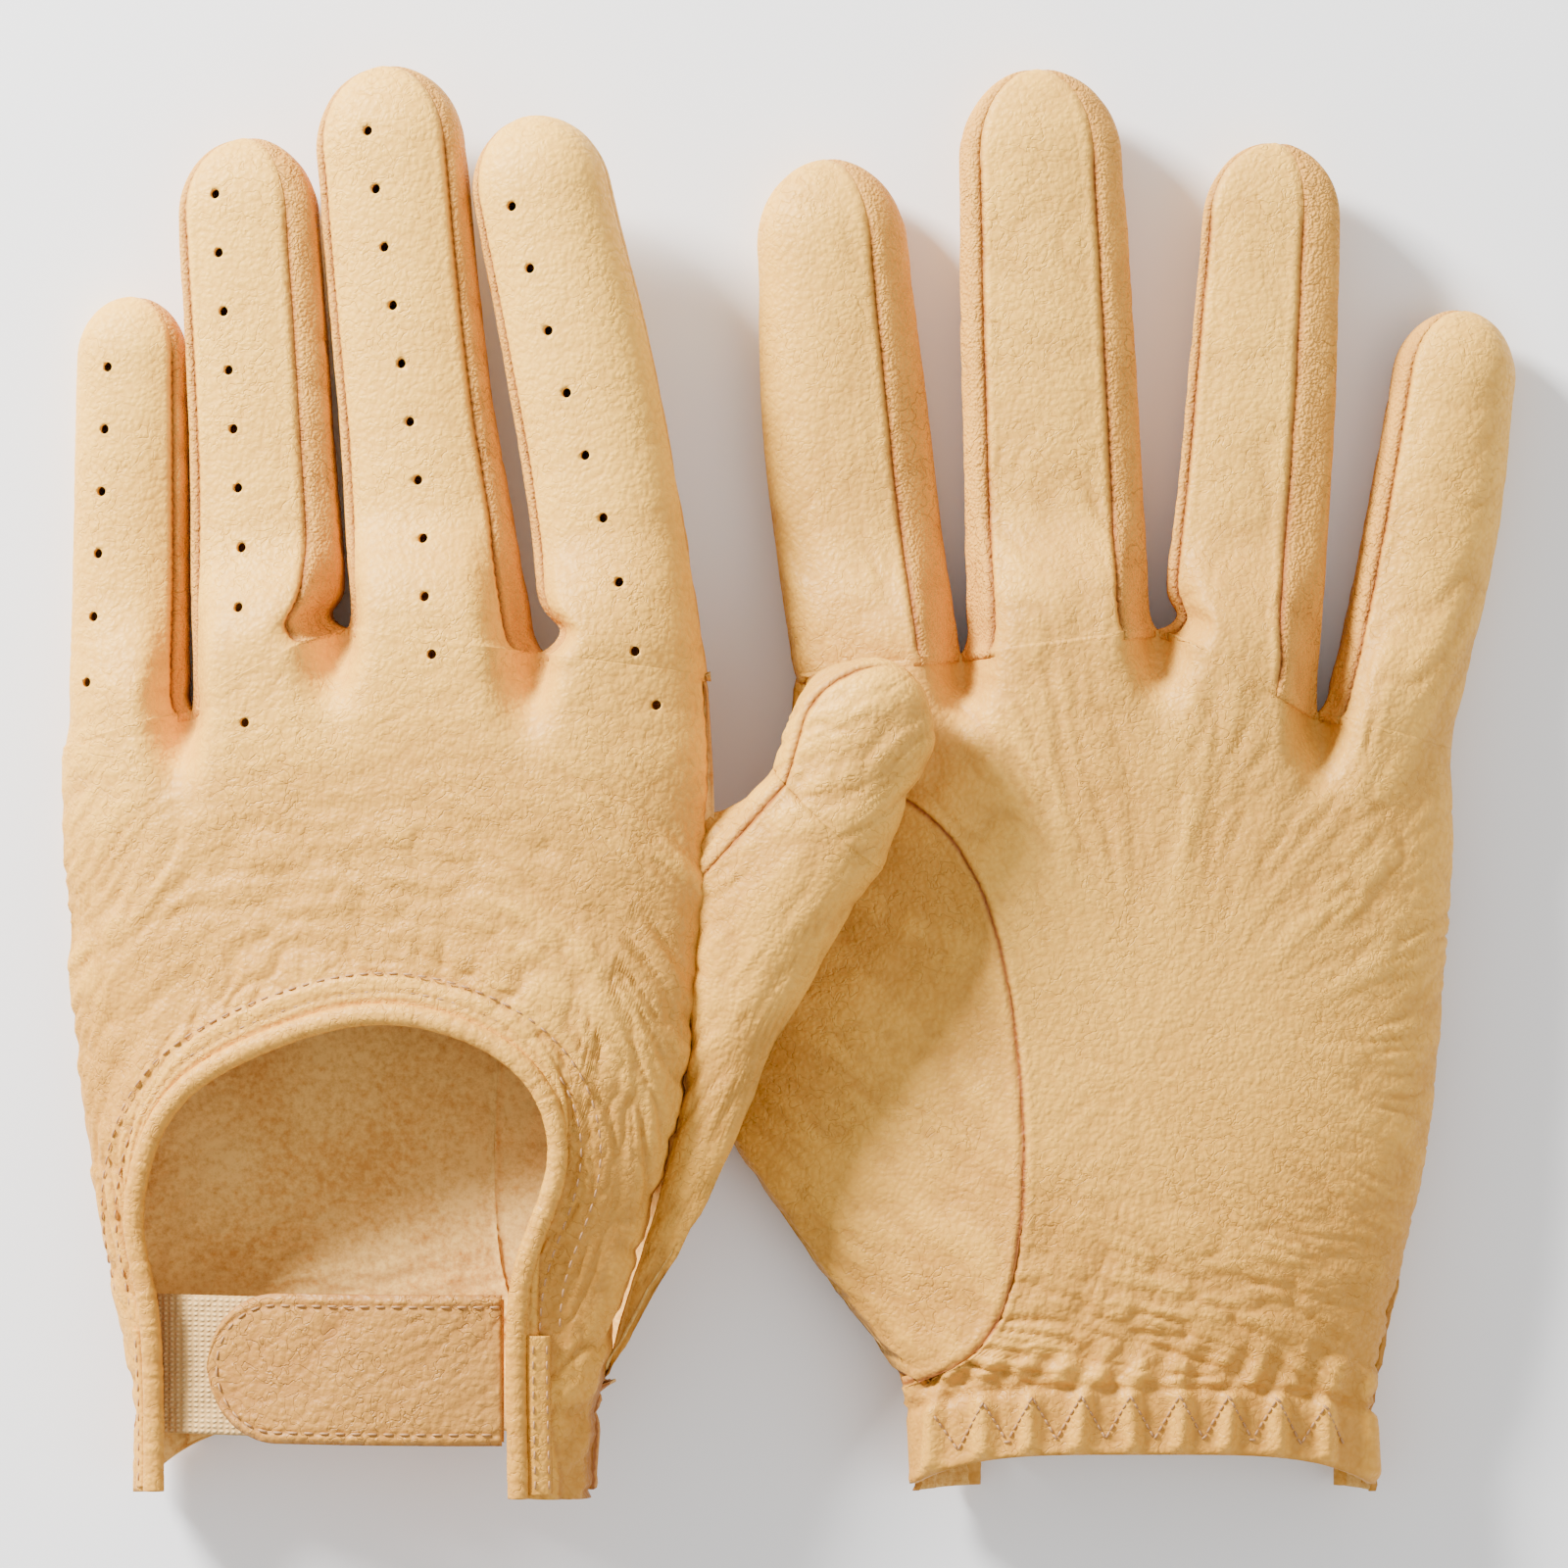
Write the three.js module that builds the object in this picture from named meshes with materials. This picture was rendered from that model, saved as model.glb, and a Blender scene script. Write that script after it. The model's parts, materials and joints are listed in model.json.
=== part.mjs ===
// Two unlined leather driving gloves, both for the left hand, laid one partly on the other.
// The lower glove lies palm up. The upper glove lies back up, leaning on the lower one's thumb,
// with its own thumb over the lower one's palm.
//
// Millimetres, +Z up, fingers towards +Y. The origin is the centre of the pair's bounding box in
// plan, at the height of the table.
//
// Every panel is a grid surface with an outer and an inner face. Each glove is first described in
// its own hand frame: x towards the thumb, y towards the fingertips from the cuff, z out of the
// back of the hand, with the side seams in the plane z = 0.

import * as THREE from "three";

// Driving dimensions
const PALM_BREADTH = 97; // across the knuckles, side seam to side seam
const PALM_LENGTH = 115; // cuff line to the knuckle line on the thumb side
const LEATHER = 1.2; // thickness of a leather panel
const LAYER = 0.8; // thickness of a facing, lining or elastic
const SEAM_GAP = 0.5; // clearance along a seam between two panels
const LAYER_GAP = 0.35; // clearance between layers that lie on each other
const STALL_CLEARANCE = 0.45; // each stall stands this far inside its share of the knuckle line
const CROTCH_DIP = 5.5; // depth of the hollow at the root of two stalls
const BINDING_WIDTH = 3.2; // edge binding of the cut-out, seen from above
const BINDING_HEIGHT = 2.4;
const TAB_WIDTH = 22;
const TAB_LENGTH = 44.5;
const TAPE_WIDTH = 20.5;
const TAPE_LENGTH = 27;
const HOOK_INSET = 2.5; // the hook patch stands this far inside the tab's edge
const HOOK_SHORTFALL = 6; // the hook patch is this much shorter than the tape
const LINING_INSET = 0.6; // the lining stands this far inside the tab's edge
const HEM_DEPTH = 9; // turning at the palm's cuff edge
const ELASTIC_START = 1.5; // from the cuff to the elastic
const ELASTIC_DEPTH = 6;
const PLACKET_WIDTH = 3.4;
const THUMB_HOLE_DEPTH = 30; // how far the thumb's seam reaches into the palm
const HEEL_BULGE = 3.5; // how far the heel of the thumb swells outwards
const FLATTENED = 0.4; // how far the underside gives where it rests on the table
const HAND_POWER = 2.6; // roundness of the hand's cross-section
const STALL_POWER = 2.3; // roundness of a stall's cross-section
const ROOT_LENGTH = 20; // a stall takes its own section over this distance from its root
const OPEN_TIP = 0.12; // a stall's panels stop this far short of the very tip
const MID_STALL = 0.45; // share of a stall's length at which its middle width is measured

const COLOURS = { leather: 0xeac48f, suede: 0xd9a96c, tape: 0xe6d3b4, hook: 0xb98a54, elastic: 0xf1eadc };

const mix = THREE.MathUtils.lerp;
const ease = (x) => THREE.MathUtils.smoothstep(x, 0, 1);
const across = (share) => share * PALM_BREADTH;
const along = (share) => share * PALM_LENGTH;
const dome = (share, power) => (1 - Math.min(1, Math.abs(share)) ** power) ** (1 / power);

// A smooth curve through points [position, value], flat beyond its ends.
function profile(points) {
  const slope = (i) => {
    const [before, after] = [points[Math.max(0, i - 1)], points[Math.min(points.length - 1, i + 1)]];
    return (after[1] - before[1]) / (after[0] - before[0]);
  };
  return (at) => {
    const x = THREE.MathUtils.clamp(at, points[0][0], points.at(-1)[0]);
    const i = Math.min(points.length - 2, points.filter((p) => p[0] <= x).length - 1);
    const [p, q] = [points[i], points[i + 1]];
    const span = q[0] - p[0];
    const t = (x - p[0]) / span;
    const [m0, m1] = [slope(i) * span, slope(i + 1) * span];
    return (2 * t ** 3 - 3 * t ** 2 + 1) * p[1] + (t ** 3 - 2 * t ** 2 + t) * m0
      + (3 * t ** 2 - 2 * t ** 3) * q[1] + (t ** 3 - t ** 2) * m1;
  };
}

// Hand outline as shares of the palm's length (position) and breadth (value).
const littleSide = profile([[-0.06, -0.37], [0.02, -0.368], [0.1, -0.374], [0.22, -0.406],
  [0.35, -0.439], [0.48, -0.46], [0.66, -0.476], [0.8, -0.486], [0.94, -0.474]]);
const thumbSide = profile([[-0.06, 0.351], [0.02, 0.357], [0.08, 0.36], [0.16, 0.378], [0.26, 0.418],
  [0.365, 0.458], [0.48, 0.495], [0.6, 0.522], [0.7, 0.531], [0.85, 0.531], [1, 0.526]]);
const sideX = (side, y) => across(side(y / PALM_LENGTH));
const BACK_CUFF = along(-0.055); // where the back's two legs end
const PALM_CUFF = along(-0.045); // where the palm ends at the side seams

// Knuckle line from the little finger's outer side to the index finger's outer side: the roots
// between the stalls, and the two ends on the outline.
const ROOTS = [
  [littleSide(0.895), 0.895], [-0.282, 0.957], [-0.028, 1.049], [0.263, 1.032], [thumbSide(0.99), 0.99],
].map(([a, l]) => new THREE.Vector2(across(a), along(l)));
const STALLS = ["little", "ring", "middle", "index"];

// Cut-out in the back, from the cuff on the little side round to the cuff on the thumb side.
const CUT_OUT = new THREE.SplineCurve([
  [-0.305, -0.05], [-0.306, 0.17], [-0.33, 0.31], [-0.26, 0.45], [-0.06, 0.535], [0.105, 0.548],
  [0.254, 0.492], [0.303, 0.385], [0.24, 0.21], [0.235, -0.045],
].map(([a, l]) => new THREE.Vector2(across(a), along(l))));

// Thumb seam in the palm: an arc that starts and ends on the thumb side's outline.
const THUMB_TOP = along(0.87);
const THUMB_FOOT = along(0.095);
const THUMB_JOIN = 0.42; // where along the thumb the heel's panel ends

// How each glove lies. Stalls: length from root to tip, lean (degrees, positive towards the thumb),
// bow of the centre line towards the thumb, half widths half way and near the tip, half depth, and
// the places of the back's and palm's seams as shares of the half width [little side, thumb side].
// The cuff's arch is a share of the palm's length. Thumb: three points of its path as shares of the
// breadth and the length with a height in millimetres, and half widths and depths at its two ends.
const LOWER = {
  name: "lower", palmUp: true, tilt: 0, offset: across(0.533),
  backCrown: 8, palmCrown: 14, droop: -1.6, strap: { left: 1.2, right: 1.6, rise: 0.4 },
  stalls: {
    little: { length: 63.5, lean: -9.9, bow: -1.8, half: [10, 8.8], depth: 7,
      back: [1, 0.8], palm: [0.97, 0.81] },
    ring: { length: 78.5, lean: -4, bow: -0.7, half: [11.4, 10.2], depth: 7.6,
      back: [0.8, 0.8], palm: [0.42, 0.92] },
    middle: { length: 85, lean: 2.2, bow: 0, half: [13.1, 12], depth: 8,
      back: [0.8, 0.8], palm: [0.66, 0.76] },
    index: { length: 75.5, lean: 5.2, bow: 1.4, half: [12.6, 10.6], depth: 8,
      back: [0.8, 1], palm: [0.58, 1] },
  },
  cuffArch: 0.045,
  thumb: { path: [[0.48, 0.36, 3], [0.68, 0.62, 1.5], [0.88, 0.955, 3.6]],
    half: [11.5, 9.5], depth: [6.5, 3.6] },
};
const UPPER = {
  name: "upper", palmUp: false, tilt: 11, offset: across(-0.632),
  backCrown: 14, palmCrown: 8, droop: -1.4, strap: { left: 3.4, right: 6.2, rise: 4 },
  stalls: {
    little: { length: 64.5, lean: 0.4, bow: 0, half: [8.7, 8.2], depth: 7,
      back: [1, 0.88], palm: [1, 0.8] },
    ring: { length: 79, lean: -3.2, bow: 0.6, half: [10.8, 10.6], depth: 7.6,
      back: [0.88, 0.64], palm: [0.8, 0.8] },
    middle: { length: 85.5, lean: -6.2, bow: -1, half: [11.4, 11.2], depth: 8,
      back: [0.86, 0.86], palm: [0.8, 0.8] },
    index: { length: 82, lean: -11.4, bow: 1.6, half: [11.1, 10], depth: 8,
      back: [0.88, 1], palm: [0.8, 1] },
  },
  cuffArch: 0.078,
  thumb: { path: [[0.5, 0.5, 0], [0.745, 0.79, 1], [0.768, 1.022, 1.5]],
    half: [11, 9.6], depth: [8, 7.6] },
};

// Height of the lowest point of the palm below the side seams' plane once the hand is tilted.
function lowestPoint(glove) {
  const [under, lean] = [glove.palmUp ? glove.backCrown : glove.palmCrown, Math.sin(radians(glove.tilt))];
  const steps = Array.from({ length: 41 }, (_, i) => i / 20 - 1);
  return Math.min(...steps.map((s) => s * across(0.48) * lean - under * dome(s, HAND_POWER)));
}

function radians(degrees) {
  return THREE.MathUtils.degToRad(degrees);
}

// From a glove's hand frame to the table. A face that would sink into the table is flattened on it:
// floor is 0 for an outer face, and the panel's thickness for an inner one.
function onTable(glove, p, floor) {
  const turn = radians(glove.tilt);
  const side = glove.palmUp ? -1 : 1;
  const rest = -lowestPoint(glove) - FLATTENED;
  const x = p.x * Math.cos(turn) - p.z * Math.sin(turn);
  const z = p.x * Math.sin(turn) + p.z * Math.cos(turn);
  return new THREE.Vector3(glove.offset + side * x, p.y - along(0.86), Math.max(floor, rest + side * z));
}

// Height of the back or the palm above the side seams' plane, with a hollow at each stall's root.
function handHeight(glove, x, y, isBack) {
  const [low, high] = [sideX(littleSide, y), sideX(thumbSide, y)];
  const share = (2 * x - low - high) / (high - low);
  const crown = (isBack ? glove.backCrown : glove.palmCrown) * mix(0.86, 1, ease(y / along(0.4)));
  const dip = ROOTS.slice(1, 4).reduce((sum, root) => sum
    + Math.exp(-(((x - root.x) / 5) ** 2) - ((y - root.y) / 13) ** 2), 0);
  const height = crown * dome(share, HAND_POWER);
  return Math.max(0, height - CROTCH_DIP * dip * (crown / 14));
}

// A point of the hand's skin at plan position (x, y), inset by a depth from the outer face.
function handPoint(glove, x, y, isBack, inset) {
  const [low, high] = [sideX(littleSide, y), sideX(thumbSide, y)];
  const share = THREE.MathUtils.clamp((2 * x - low - high) / (high - low), -1, 1);
  const height = SEAM_GAP / 2 + handHeight(glove, x, y, isBack) * (1 - inset / 16);
  const z = Math.max(SEAM_GAP / 2, height - inset * (1 - share ** 6));
  return new THREE.Vector3(x - inset * share, y, isBack ? z : -z);
}

// A stall's frame: root, direction, sideways direction, and half widths at its root.
function stallFrame(glove, index) {
  const stall = glove.stalls[STALLS[index]];
  const [little, thumb] = [ROOTS[index], ROOTS[index + 1]];
  const lean = radians(stall.lean);
  const forward = new THREE.Vector2(Math.sin(lean), Math.cos(lean));
  const sideways = new THREE.Vector2(Math.cos(lean), -Math.sin(lean));
  const root = little.clone().add(thumb).multiplyScalar(0.5);
  const halfRow = thumb.clone().sub(little).multiplyScalar(0.5);
  return { ...stall, root, forward, sideways, rootHalf: halfRow.dot(sideways), skew: halfRow.dot(forward) };
}

// A stall's plan position at share t of its length and share b of its half width.
function stallPlan(frame, t, b, inset) {
  const length = frame.length - inset;
  const cap = frame.half[1] * 1.05 / length;
  const beyond = Math.max(0, (t - (1 - cap)) / cap);
  const taper = Math.sqrt(Math.max(0, 1 - beyond ** 2));
  const [rootHalf, midHalf, tipHalf] = [frame.rootHalf - STALL_CLEARANCE, ...frame.half];
  const half = t < MID_STALL ? mix(rootHalf, midHalf, ease(t / MID_STALL))
    : mix(midHalf, tipHalf, ease((t - MID_STALL) / (1 - MID_STALL)));
  const slant = frame.skew * b * Math.max(0, 1 - t / 0.4) ** 2;
  const side = frame.bow * 4 * t * (1 - t) + (half - inset) * taper * b;
  const place = frame.root.clone().addScaledVector(frame.forward, t * length + slant);
  return { place: place.addScaledVector(frame.sideways, side), taper };
}

// Height of a stall's back or palm at (t, b): the hand's own height at its root, easing into the
// stall's rounded section.
function stallHeight(glove, frame, t, b, isBack, inset) {
  const root = stallPlan(frame, 0, b, 0).place;
  const base = Math.max(0, handHeight(glove, root.x, root.y, isBack) - inset);
  const share = 1 - ease((t * frame.length) / ROOT_LENGTH);
  const { taper } = stallPlan(frame, t, b, inset);
  const own = (frame.depth - inset) * taper * dome(b, STALL_POWER);
  const centre = glove.droop * (glove.palmUp ? -1 : 1) * (1 - share);
  const height = mix(own, base, share) * (isBack ? 1 : -1);
  return centre + height + (SEAM_GAP / 2) * (isBack ? 1 : -1) * (Math.abs(b) >= 0.999 ? 1 : 0);
}

// The back or palm panel of a stall, between its two seams.
function stallPanel(glove, frame, isBack) {
  const [little, thumb] = isBack ? frame.back : frame.palm;
  const inside = (seam) => (seam >= 0.999 ? 0.999 : seam - SEAM_GAP / 2 / frame.half[0]);
  const [from, to] = [-inside(little), inside(thumb)];
  return (inset) => (u, v) => {
    const t = stallShare(frame, u);
    const b = mix(from, to, v);
    const { place } = stallPlan(frame, t, b, inset);
    return new THREE.Vector3(place.x, place.y, stallHeight(glove, frame, t, b, isBack, inset));
  };
}

// Panels start just past the root and crowd their rows towards the tip.
function stallShare(frame, u) {
  const start = (1.2 * SEAM_GAP) / frame.length;
  return mix(start, 1 - OPEN_TIP / frame.length, 1 - (1 - u) ** 1.6);
}

// A side strip of a stall, from the back's seam round to the palm's seam. side is -1 towards the
// little finger and 1 towards the thumb.
function sideStrip(glove, frame, side) {
  const column = side < 0 ? 0 : 1;
  const seam = (panel) => panel[column] + SEAM_GAP / frame.half[0];
  const angle = (b) => Math.acos(b ** (STALL_POWER / 2));
  const [top, bottom] = [seam(frame.back), seam(frame.palm)];
  return (inset) => (u, v) => {
    const t = stallShare(frame, u);
    const turn = mix(angle(top), -angle(bottom), v);
    const b = Math.cos(turn) ** (2 / STALL_POWER);
    const isBack = turn >= 0;
    const edge = isBack ? top : bottom;
    const rise = (Math.sin(Math.abs(turn)) / Math.sin(angle(edge))) ** (2 / STALL_POWER);
    const [high, low] = [true, false].map((top) => stallHeight(glove, frame, t, 0, top, inset));
    const height = stallHeight(glove, frame, t, edge, isBack, inset);
    const { place } = stallPlan(frame, t, side * b, inset);
    return new THREE.Vector3(place.x, place.y, mix((high + low) / 2, height, rise));
  };
}

// The knuckle line's point at share s from the little side to the thumb side.
function knucklePoint(glove, s) {
  const index = Math.min(3, Math.floor(s * 4));
  const frame = stallFrame(glove, index);
  const b = 2 * (s * 4 - index) - 1;
  return frame.root.clone().addScaledVector(frame.sideways, b * frame.rootHalf)
    .addScaledVector(frame.forward, b * frame.skew);
}

// The outline of the hand outside the cut-out, as a curve from the cuff on the little side, up the
// side, along the knuckle line and down the thumb side to the cuff.
const SIDE_SHARE = 0.28; // share of the curve spent on each side
function backOutline(glove, q) {
  if (q < SIDE_SHARE) {
    const y = mix(BACK_CUFF, ROOTS[0].y, q / SIDE_SHARE);
    return new THREE.Vector2(sideX(littleSide, y), y);
  }
  if (q > 1 - SIDE_SHARE) {
    const y = mix(BACK_CUFF, ROOTS[4].y, (1 - q) / SIDE_SHARE);
    return new THREE.Vector2(sideX(thumbSide, y), y);
  }
  return knucklePoint(glove, (q - SIDE_SHARE) / (1 - 2 * SIDE_SHARE));
}

// A point of the cut-out's edge, moved out by a distance.
function cutOutPoint(q, out) {
  const point = CUT_OUT.getPointAt(q);
  const tangent = CUT_OUT.getTangentAt(q);
  return point.add(new THREE.Vector2(-tangent.y, tangent.x).multiplyScalar(out));
}

// The back of the hand: rings from the cut-out's binding to the outline.
function handBack(glove) {
  return (inset) => (q, r) => {
    const inner = cutOutPoint(q, BINDING_WIDTH + SEAM_GAP + LEATHER / 2);
    const plan = inner.lerp(backOutline(glove, q), 1 - (1 - r) ** 1.5);
    return handPoint(glove, plan.x, plan.y, true, inset);
  };
}

// The seam of the thumb in the palm, at angle turn from its top (0) to its foot (pi).
function thumbSeam(turn, grow) {
  const y = (THUMB_TOP + THUMB_FOOT) / 2 + ((THUMB_TOP - THUMB_FOOT) / 2 + grow) * Math.cos(turn);
  const depth = (THUMB_HOLE_DEPTH + grow) * Math.sin(turn) ** 0.85 * (1 + 0.22 * Math.cos(turn));
  return new THREE.Vector2(sideX(thumbSide, y) - depth, y);
}

// The palm: rows from the little side to the thumb side's outline or the thumb's seam.
const PALM_TOP = 0.12; // share of the rows above the thumb's seam, and below it
function palmEdge(t) {
  if (t > PALM_TOP && t < 1 - PALM_TOP) {
    return thumbSeam(Math.PI * (1 - (t - PALM_TOP) / (1 - 2 * PALM_TOP)), SEAM_GAP);
  }
  const [low, high] = t < 0.5 ? [PALM_CUFF, THUMB_FOOT - SEAM_GAP] : [THUMB_TOP + SEAM_GAP, ROOTS[4].y];
  const y = t < 0.5 ? mix(low, high, t / PALM_TOP) : mix(low, high, (t - 1 + PALM_TOP) / PALM_TOP);
  return new THREE.Vector2(sideX(thumbSide, y), y);
}

function palmPlan(glove, s, t) {
  const y = mix(PALM_CUFF, ROOTS[0].y, t);
  const [left, right] = [new THREE.Vector2(sideX(littleSide, y), y), palmEdge(t)];
  const top = knucklePoint(glove, s).sub(ROOTS[0].clone().lerp(ROOTS[4], s));
  const cuffArch = along(glove.cuffArch) * (1 - Math.abs(2 * s - 1) ** 4) * (1 - t) ** 3;
  const plan = left.lerp(right, s).addScaledVector(top, t ** 3);
  return plan.setY(plan.y + cuffArch);
}

function palm(glove) {
  return (inset) => (s, t) => {
    const plan = palmPlan(glove, s, t);
    return handPoint(glove, plan.x, plan.y, false, inset);
  };
}

// A layer inside the palm's cuff, its outer face set in by depth, between two heights of the cuff.
function cuffLayer(glove, depth, from, to, margin) {
  return (inset) => (s, t) => {
    const row = mix(from, to, t) / (ROOTS[0].y - PALM_CUFF);
    const plan = palmPlan(glove, mix(margin, 1 - margin, s), row);
    return handPoint(glove, plan.x, plan.y, false, depth + inset);
  };
}

// The thumb: rings round its path, which ease out of the loop made by the seam in the palm and the
// hand's side seam. around runs 0 at the loop's top, 0.5 at its foot, the palm side first.
function thumbRing(glove, a, around, inset) {
  const { path, half, depth } = glove.thumb;
  const points = path.map(([x, y, z]) => new THREE.Vector3(across(x), along(y), z));
  const curve = new THREE.QuadraticBezierCurve3(...points);
  const reach = 1 - inset / curve.getLength();
  const centre = curve.getPoint(a * reach);
  const forward = curve.getTangent(a * reach);
  const sideways = new THREE.Vector3(forward.y, -forward.x, 0).normalize();
  const cap = Math.max(0, (a - 0.86) / 0.14);
  const taper = Math.sqrt(Math.max(0.012, 1 - cap ** 2));
  const turn = Math.PI * 2 * around;
  const [wide, tall] = [0, 1].map((i) => ((i ? mix(...depth, a) : mix(...half, a)) - inset) * taper);
  return centre.addScaledVector(sideways, -Math.cos(turn) * wide)
    .add(new THREE.Vector3(0, 0, -Math.sin(turn) * tall));
}

function thumbLoop(glove, around, inset) {
  if (around <= 0.5) {
    const plan = thumbSeam(Math.PI * 2 * around, -SEAM_GAP);
    return handPoint(glove, plan.x, plan.y, false, inset);
  }
  const y = mix(THUMB_FOOT + SEAM_GAP, THUMB_TOP - SEAM_GAP, 2 * around - 1);
  const x = sideX(thumbSide, y);
  return new THREE.Vector3(x + SEAM_GAP - inset, y, -SEAM_GAP / 2);
}

function thumbPoint(glove, a, around, inset) {
  const turn = ((around % 1) + 1) % 1;
  const eased = ease(a / THUMB_JOIN);
  const bulge = HEEL_BULGE * Math.sin(Math.PI * eased) * Math.max(0, -Math.cos(Math.PI * 2 * turn));
  const [first, last] = [glove.thumb.path[0], glove.thumb.path[2]];
  const outwards = new THREE.Vector3(along(last[1] - first[1]), across(first[0] - last[0]), 0).normalize();
  return thumbLoop(glove, turn, inset).lerp(thumbRing(glove, a, turn, inset), eased)
    .addScaledVector(outwards, bulge);
}

function thumbPanel(glove, [a0, a1], [from, to]) {
  return (inset) => (u, v) => thumbPoint(glove, mix(a0, a1, 1 - (1 - u) ** 1.4), mix(from, to, v), inset);
}

// The strap's layers lie on one arch from the little side's leg to the thumb side's leg.
const STRAP_CENTRE = along(0.112);
const STRAP_LEFT = across(-0.335);
const STRAP_RIGHT = across(0.232);
function strapArch(glove, x) {
  const share = (x - STRAP_LEFT) / (STRAP_RIGHT - STRAP_LEFT);
  const { left, right, rise } = glove.strap;
  return mix(left, right, share) + rise * 4 * share * (1 - share);
}

// A strip of the strap from its fixed end at root to its free end, rounded by radius; base is its
// underside's height over the arch. Panels measure their inset downwards here.
function strapStrip(glove, root, length, width, radius, base, thickness) {
  const direction = Math.sign(length);
  return (inset) => (u, v) => {
    const x = root + length * u;
    const past = Math.max(0, (Math.abs(length) * u - (Math.abs(length) - radius)) / Math.max(radius, 0.01));
    const half = (width / 2) * Math.sqrt(Math.max(0.02, 1 - Math.min(1, past) ** 2));
    const y = STRAP_CENTRE + direction * half * (2 * v - 1);
    return new THREE.Vector3(x, y, strapArch(glove, x) + base + (inset > 0 ? 0 : thickness));
  };
}

// Edge binding: a strip that rolls over the cut-out's edge.
function binding(glove) {
  return (inset) => (q, v) => {
    const plan = cutOutPoint(q, mix(0, BINDING_WIDTH, v));
    const { z } = handPoint(glove, plan.x, plan.y, true, 0);
    const roll = (BINDING_HEIGHT / 2) * Math.sin(Math.PI * mix(0.12, 0.88, v));
    return new THREE.Vector3(plan.x, plan.y, z - LEATHER / 2 + (inset > 0 ? -roll : roll));
  };
}

// A placket: a strip on top of a leg, beside the cut-out's binding, from the cuff to the strap.
function placket(glove, isThumbSide) {
  const reach = 0.13; // share of the cut-out's edge that the placket follows
  return (inset) => (u, v) => {
    const q = isThumbSide ? 1 - reach * u - 0.004 : reach * u + 0.004;
    const width = isThumbSide ? PLACKET_WIDTH : PLACKET_WIDTH / 2;
    const plan = cutOutPoint(q, BINDING_WIDTH + SEAM_GAP + width * v);
    const { z } = handPoint(glove, plan.x, plan.y, true, 0);
    return new THREE.Vector3(plan.x, plan.y, z + SEAM_GAP + (inset > 0 ? 0 : LAYER));
  };
}

// A closed solid between an outer and an inner grid of (nu + 1) by (nv + 1) points.
function panelGeometry(glove, surface, thickness, nu, nv) {
  const faces = [surface(0), surface(thickness)];
  const points = faces.flatMap((face, side) => Array.from({ length: (nu + 1) * (nv + 1) }, (_, i) => {
    const p = face(Math.floor(i / (nv + 1)) / nu, (i % (nv + 1)) / nv);
    return onTable(glove, p, side * thickness);
  }));
  const at = (side, i, j) => side * (nu + 1) * (nv + 1) + i * (nv + 1) + j;
  const triangles = [];
  const quad = (a, b, c, d) => triangles.push([a, b, c], [a, c, d]);
  for (let i = 0; i < nu; i += 1) {
    for (let j = 0; j < nv; j += 1) {
      quad(at(0, i, j), at(0, i + 1, j), at(0, i + 1, j + 1), at(0, i, j + 1));
      quad(at(1, i, j), at(1, i, j + 1), at(1, i + 1, j + 1), at(1, i + 1, j));
    }
    quad(at(0, i, 0), at(1, i, 0), at(1, i + 1, 0), at(0, i + 1, 0));
    quad(at(0, i, nv), at(0, i + 1, nv), at(1, i + 1, nv), at(1, i, nv));
  }
  for (let j = 0; j < nv; j += 1) {
    quad(at(0, 0, j), at(0, 0, j + 1), at(1, 0, j + 1), at(1, 0, j));
    quad(at(0, nu, j), at(1, nu, j), at(1, nu, j + 1), at(0, nu, j + 1));
  }
  const volume = triangles.reduce((sum, [a, b, c]) => sum
    + points[a].dot(points[b].clone().cross(points[c])), 0);
  const facing = volume > 0 ? triangles : triangles.map(([a, b, c]) => [a, c, b]);
  const geometry = new THREE.BufferGeometry().setFromPoints(points);
  geometry.setIndex(facing.flat());
  geometry.computeVertexNormals();
  return geometry;
}

function addPanel(parent, glove, name, colour, surface, thickness, nu, nv) {
  const geometry = panelGeometry(glove, surface, thickness, nu, nv);
  geometry.translate(...parent.userData.pivot.clone().negate().toArray());
  const material = new THREE.MeshStandardMaterial({ color: colour, roughness: 0.6, metalness: 0 });
  const mesh = new THREE.Mesh(geometry, material);
  mesh.name = `${glove.name}_${name}`;
  parent.add(mesh);
}

// A group that turns or slides about a pivot, given on the table.
function bodyAt(parent, name, pivot) {
  const body = new THREE.Group();
  body.name = name;
  body.userData.pivot = pivot;
  body.position.copy(pivot).sub(parent.userData.pivot);
  parent.add(body);
  return body;
}

// Each stall lifts off the table at its root, about the side that faces up.
function addStall(hand, glove, index) {
  const name = STALLS[index];
  const frame = stallFrame(glove, index);
  const high = handHeight(glove, frame.root.x, frame.root.y, !glove.palmUp) + SEAM_GAP / 2;
  const fold = new THREE.Vector3(frame.root.x, frame.root.y, glove.palmUp ? -high : high);
  const pivot = onTable(glove, fold, 0);
  const body = bodyAt(hand, `${glove.name}_${name}_bend`, pivot);
  const { leather } = COLOURS;
  addPanel(body, glove, `${name}_back`, leather, stallPanel(glove, frame, true), LEATHER, 8, 4);
  addPanel(body, glove, `${name}_front`, leather, stallPanel(glove, frame, false), LEATHER, 8, 4);
  [-1, 1].filter((side) => STALLS[index + side]).forEach((side) => {
    const fourchette = `${name}_fourchette_by_${STALLS[index + side]}`;
    addPanel(body, glove, fourchette, leather, sideStrip(glove, frame, side), LEATHER, 8, 2);
  });
}

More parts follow.
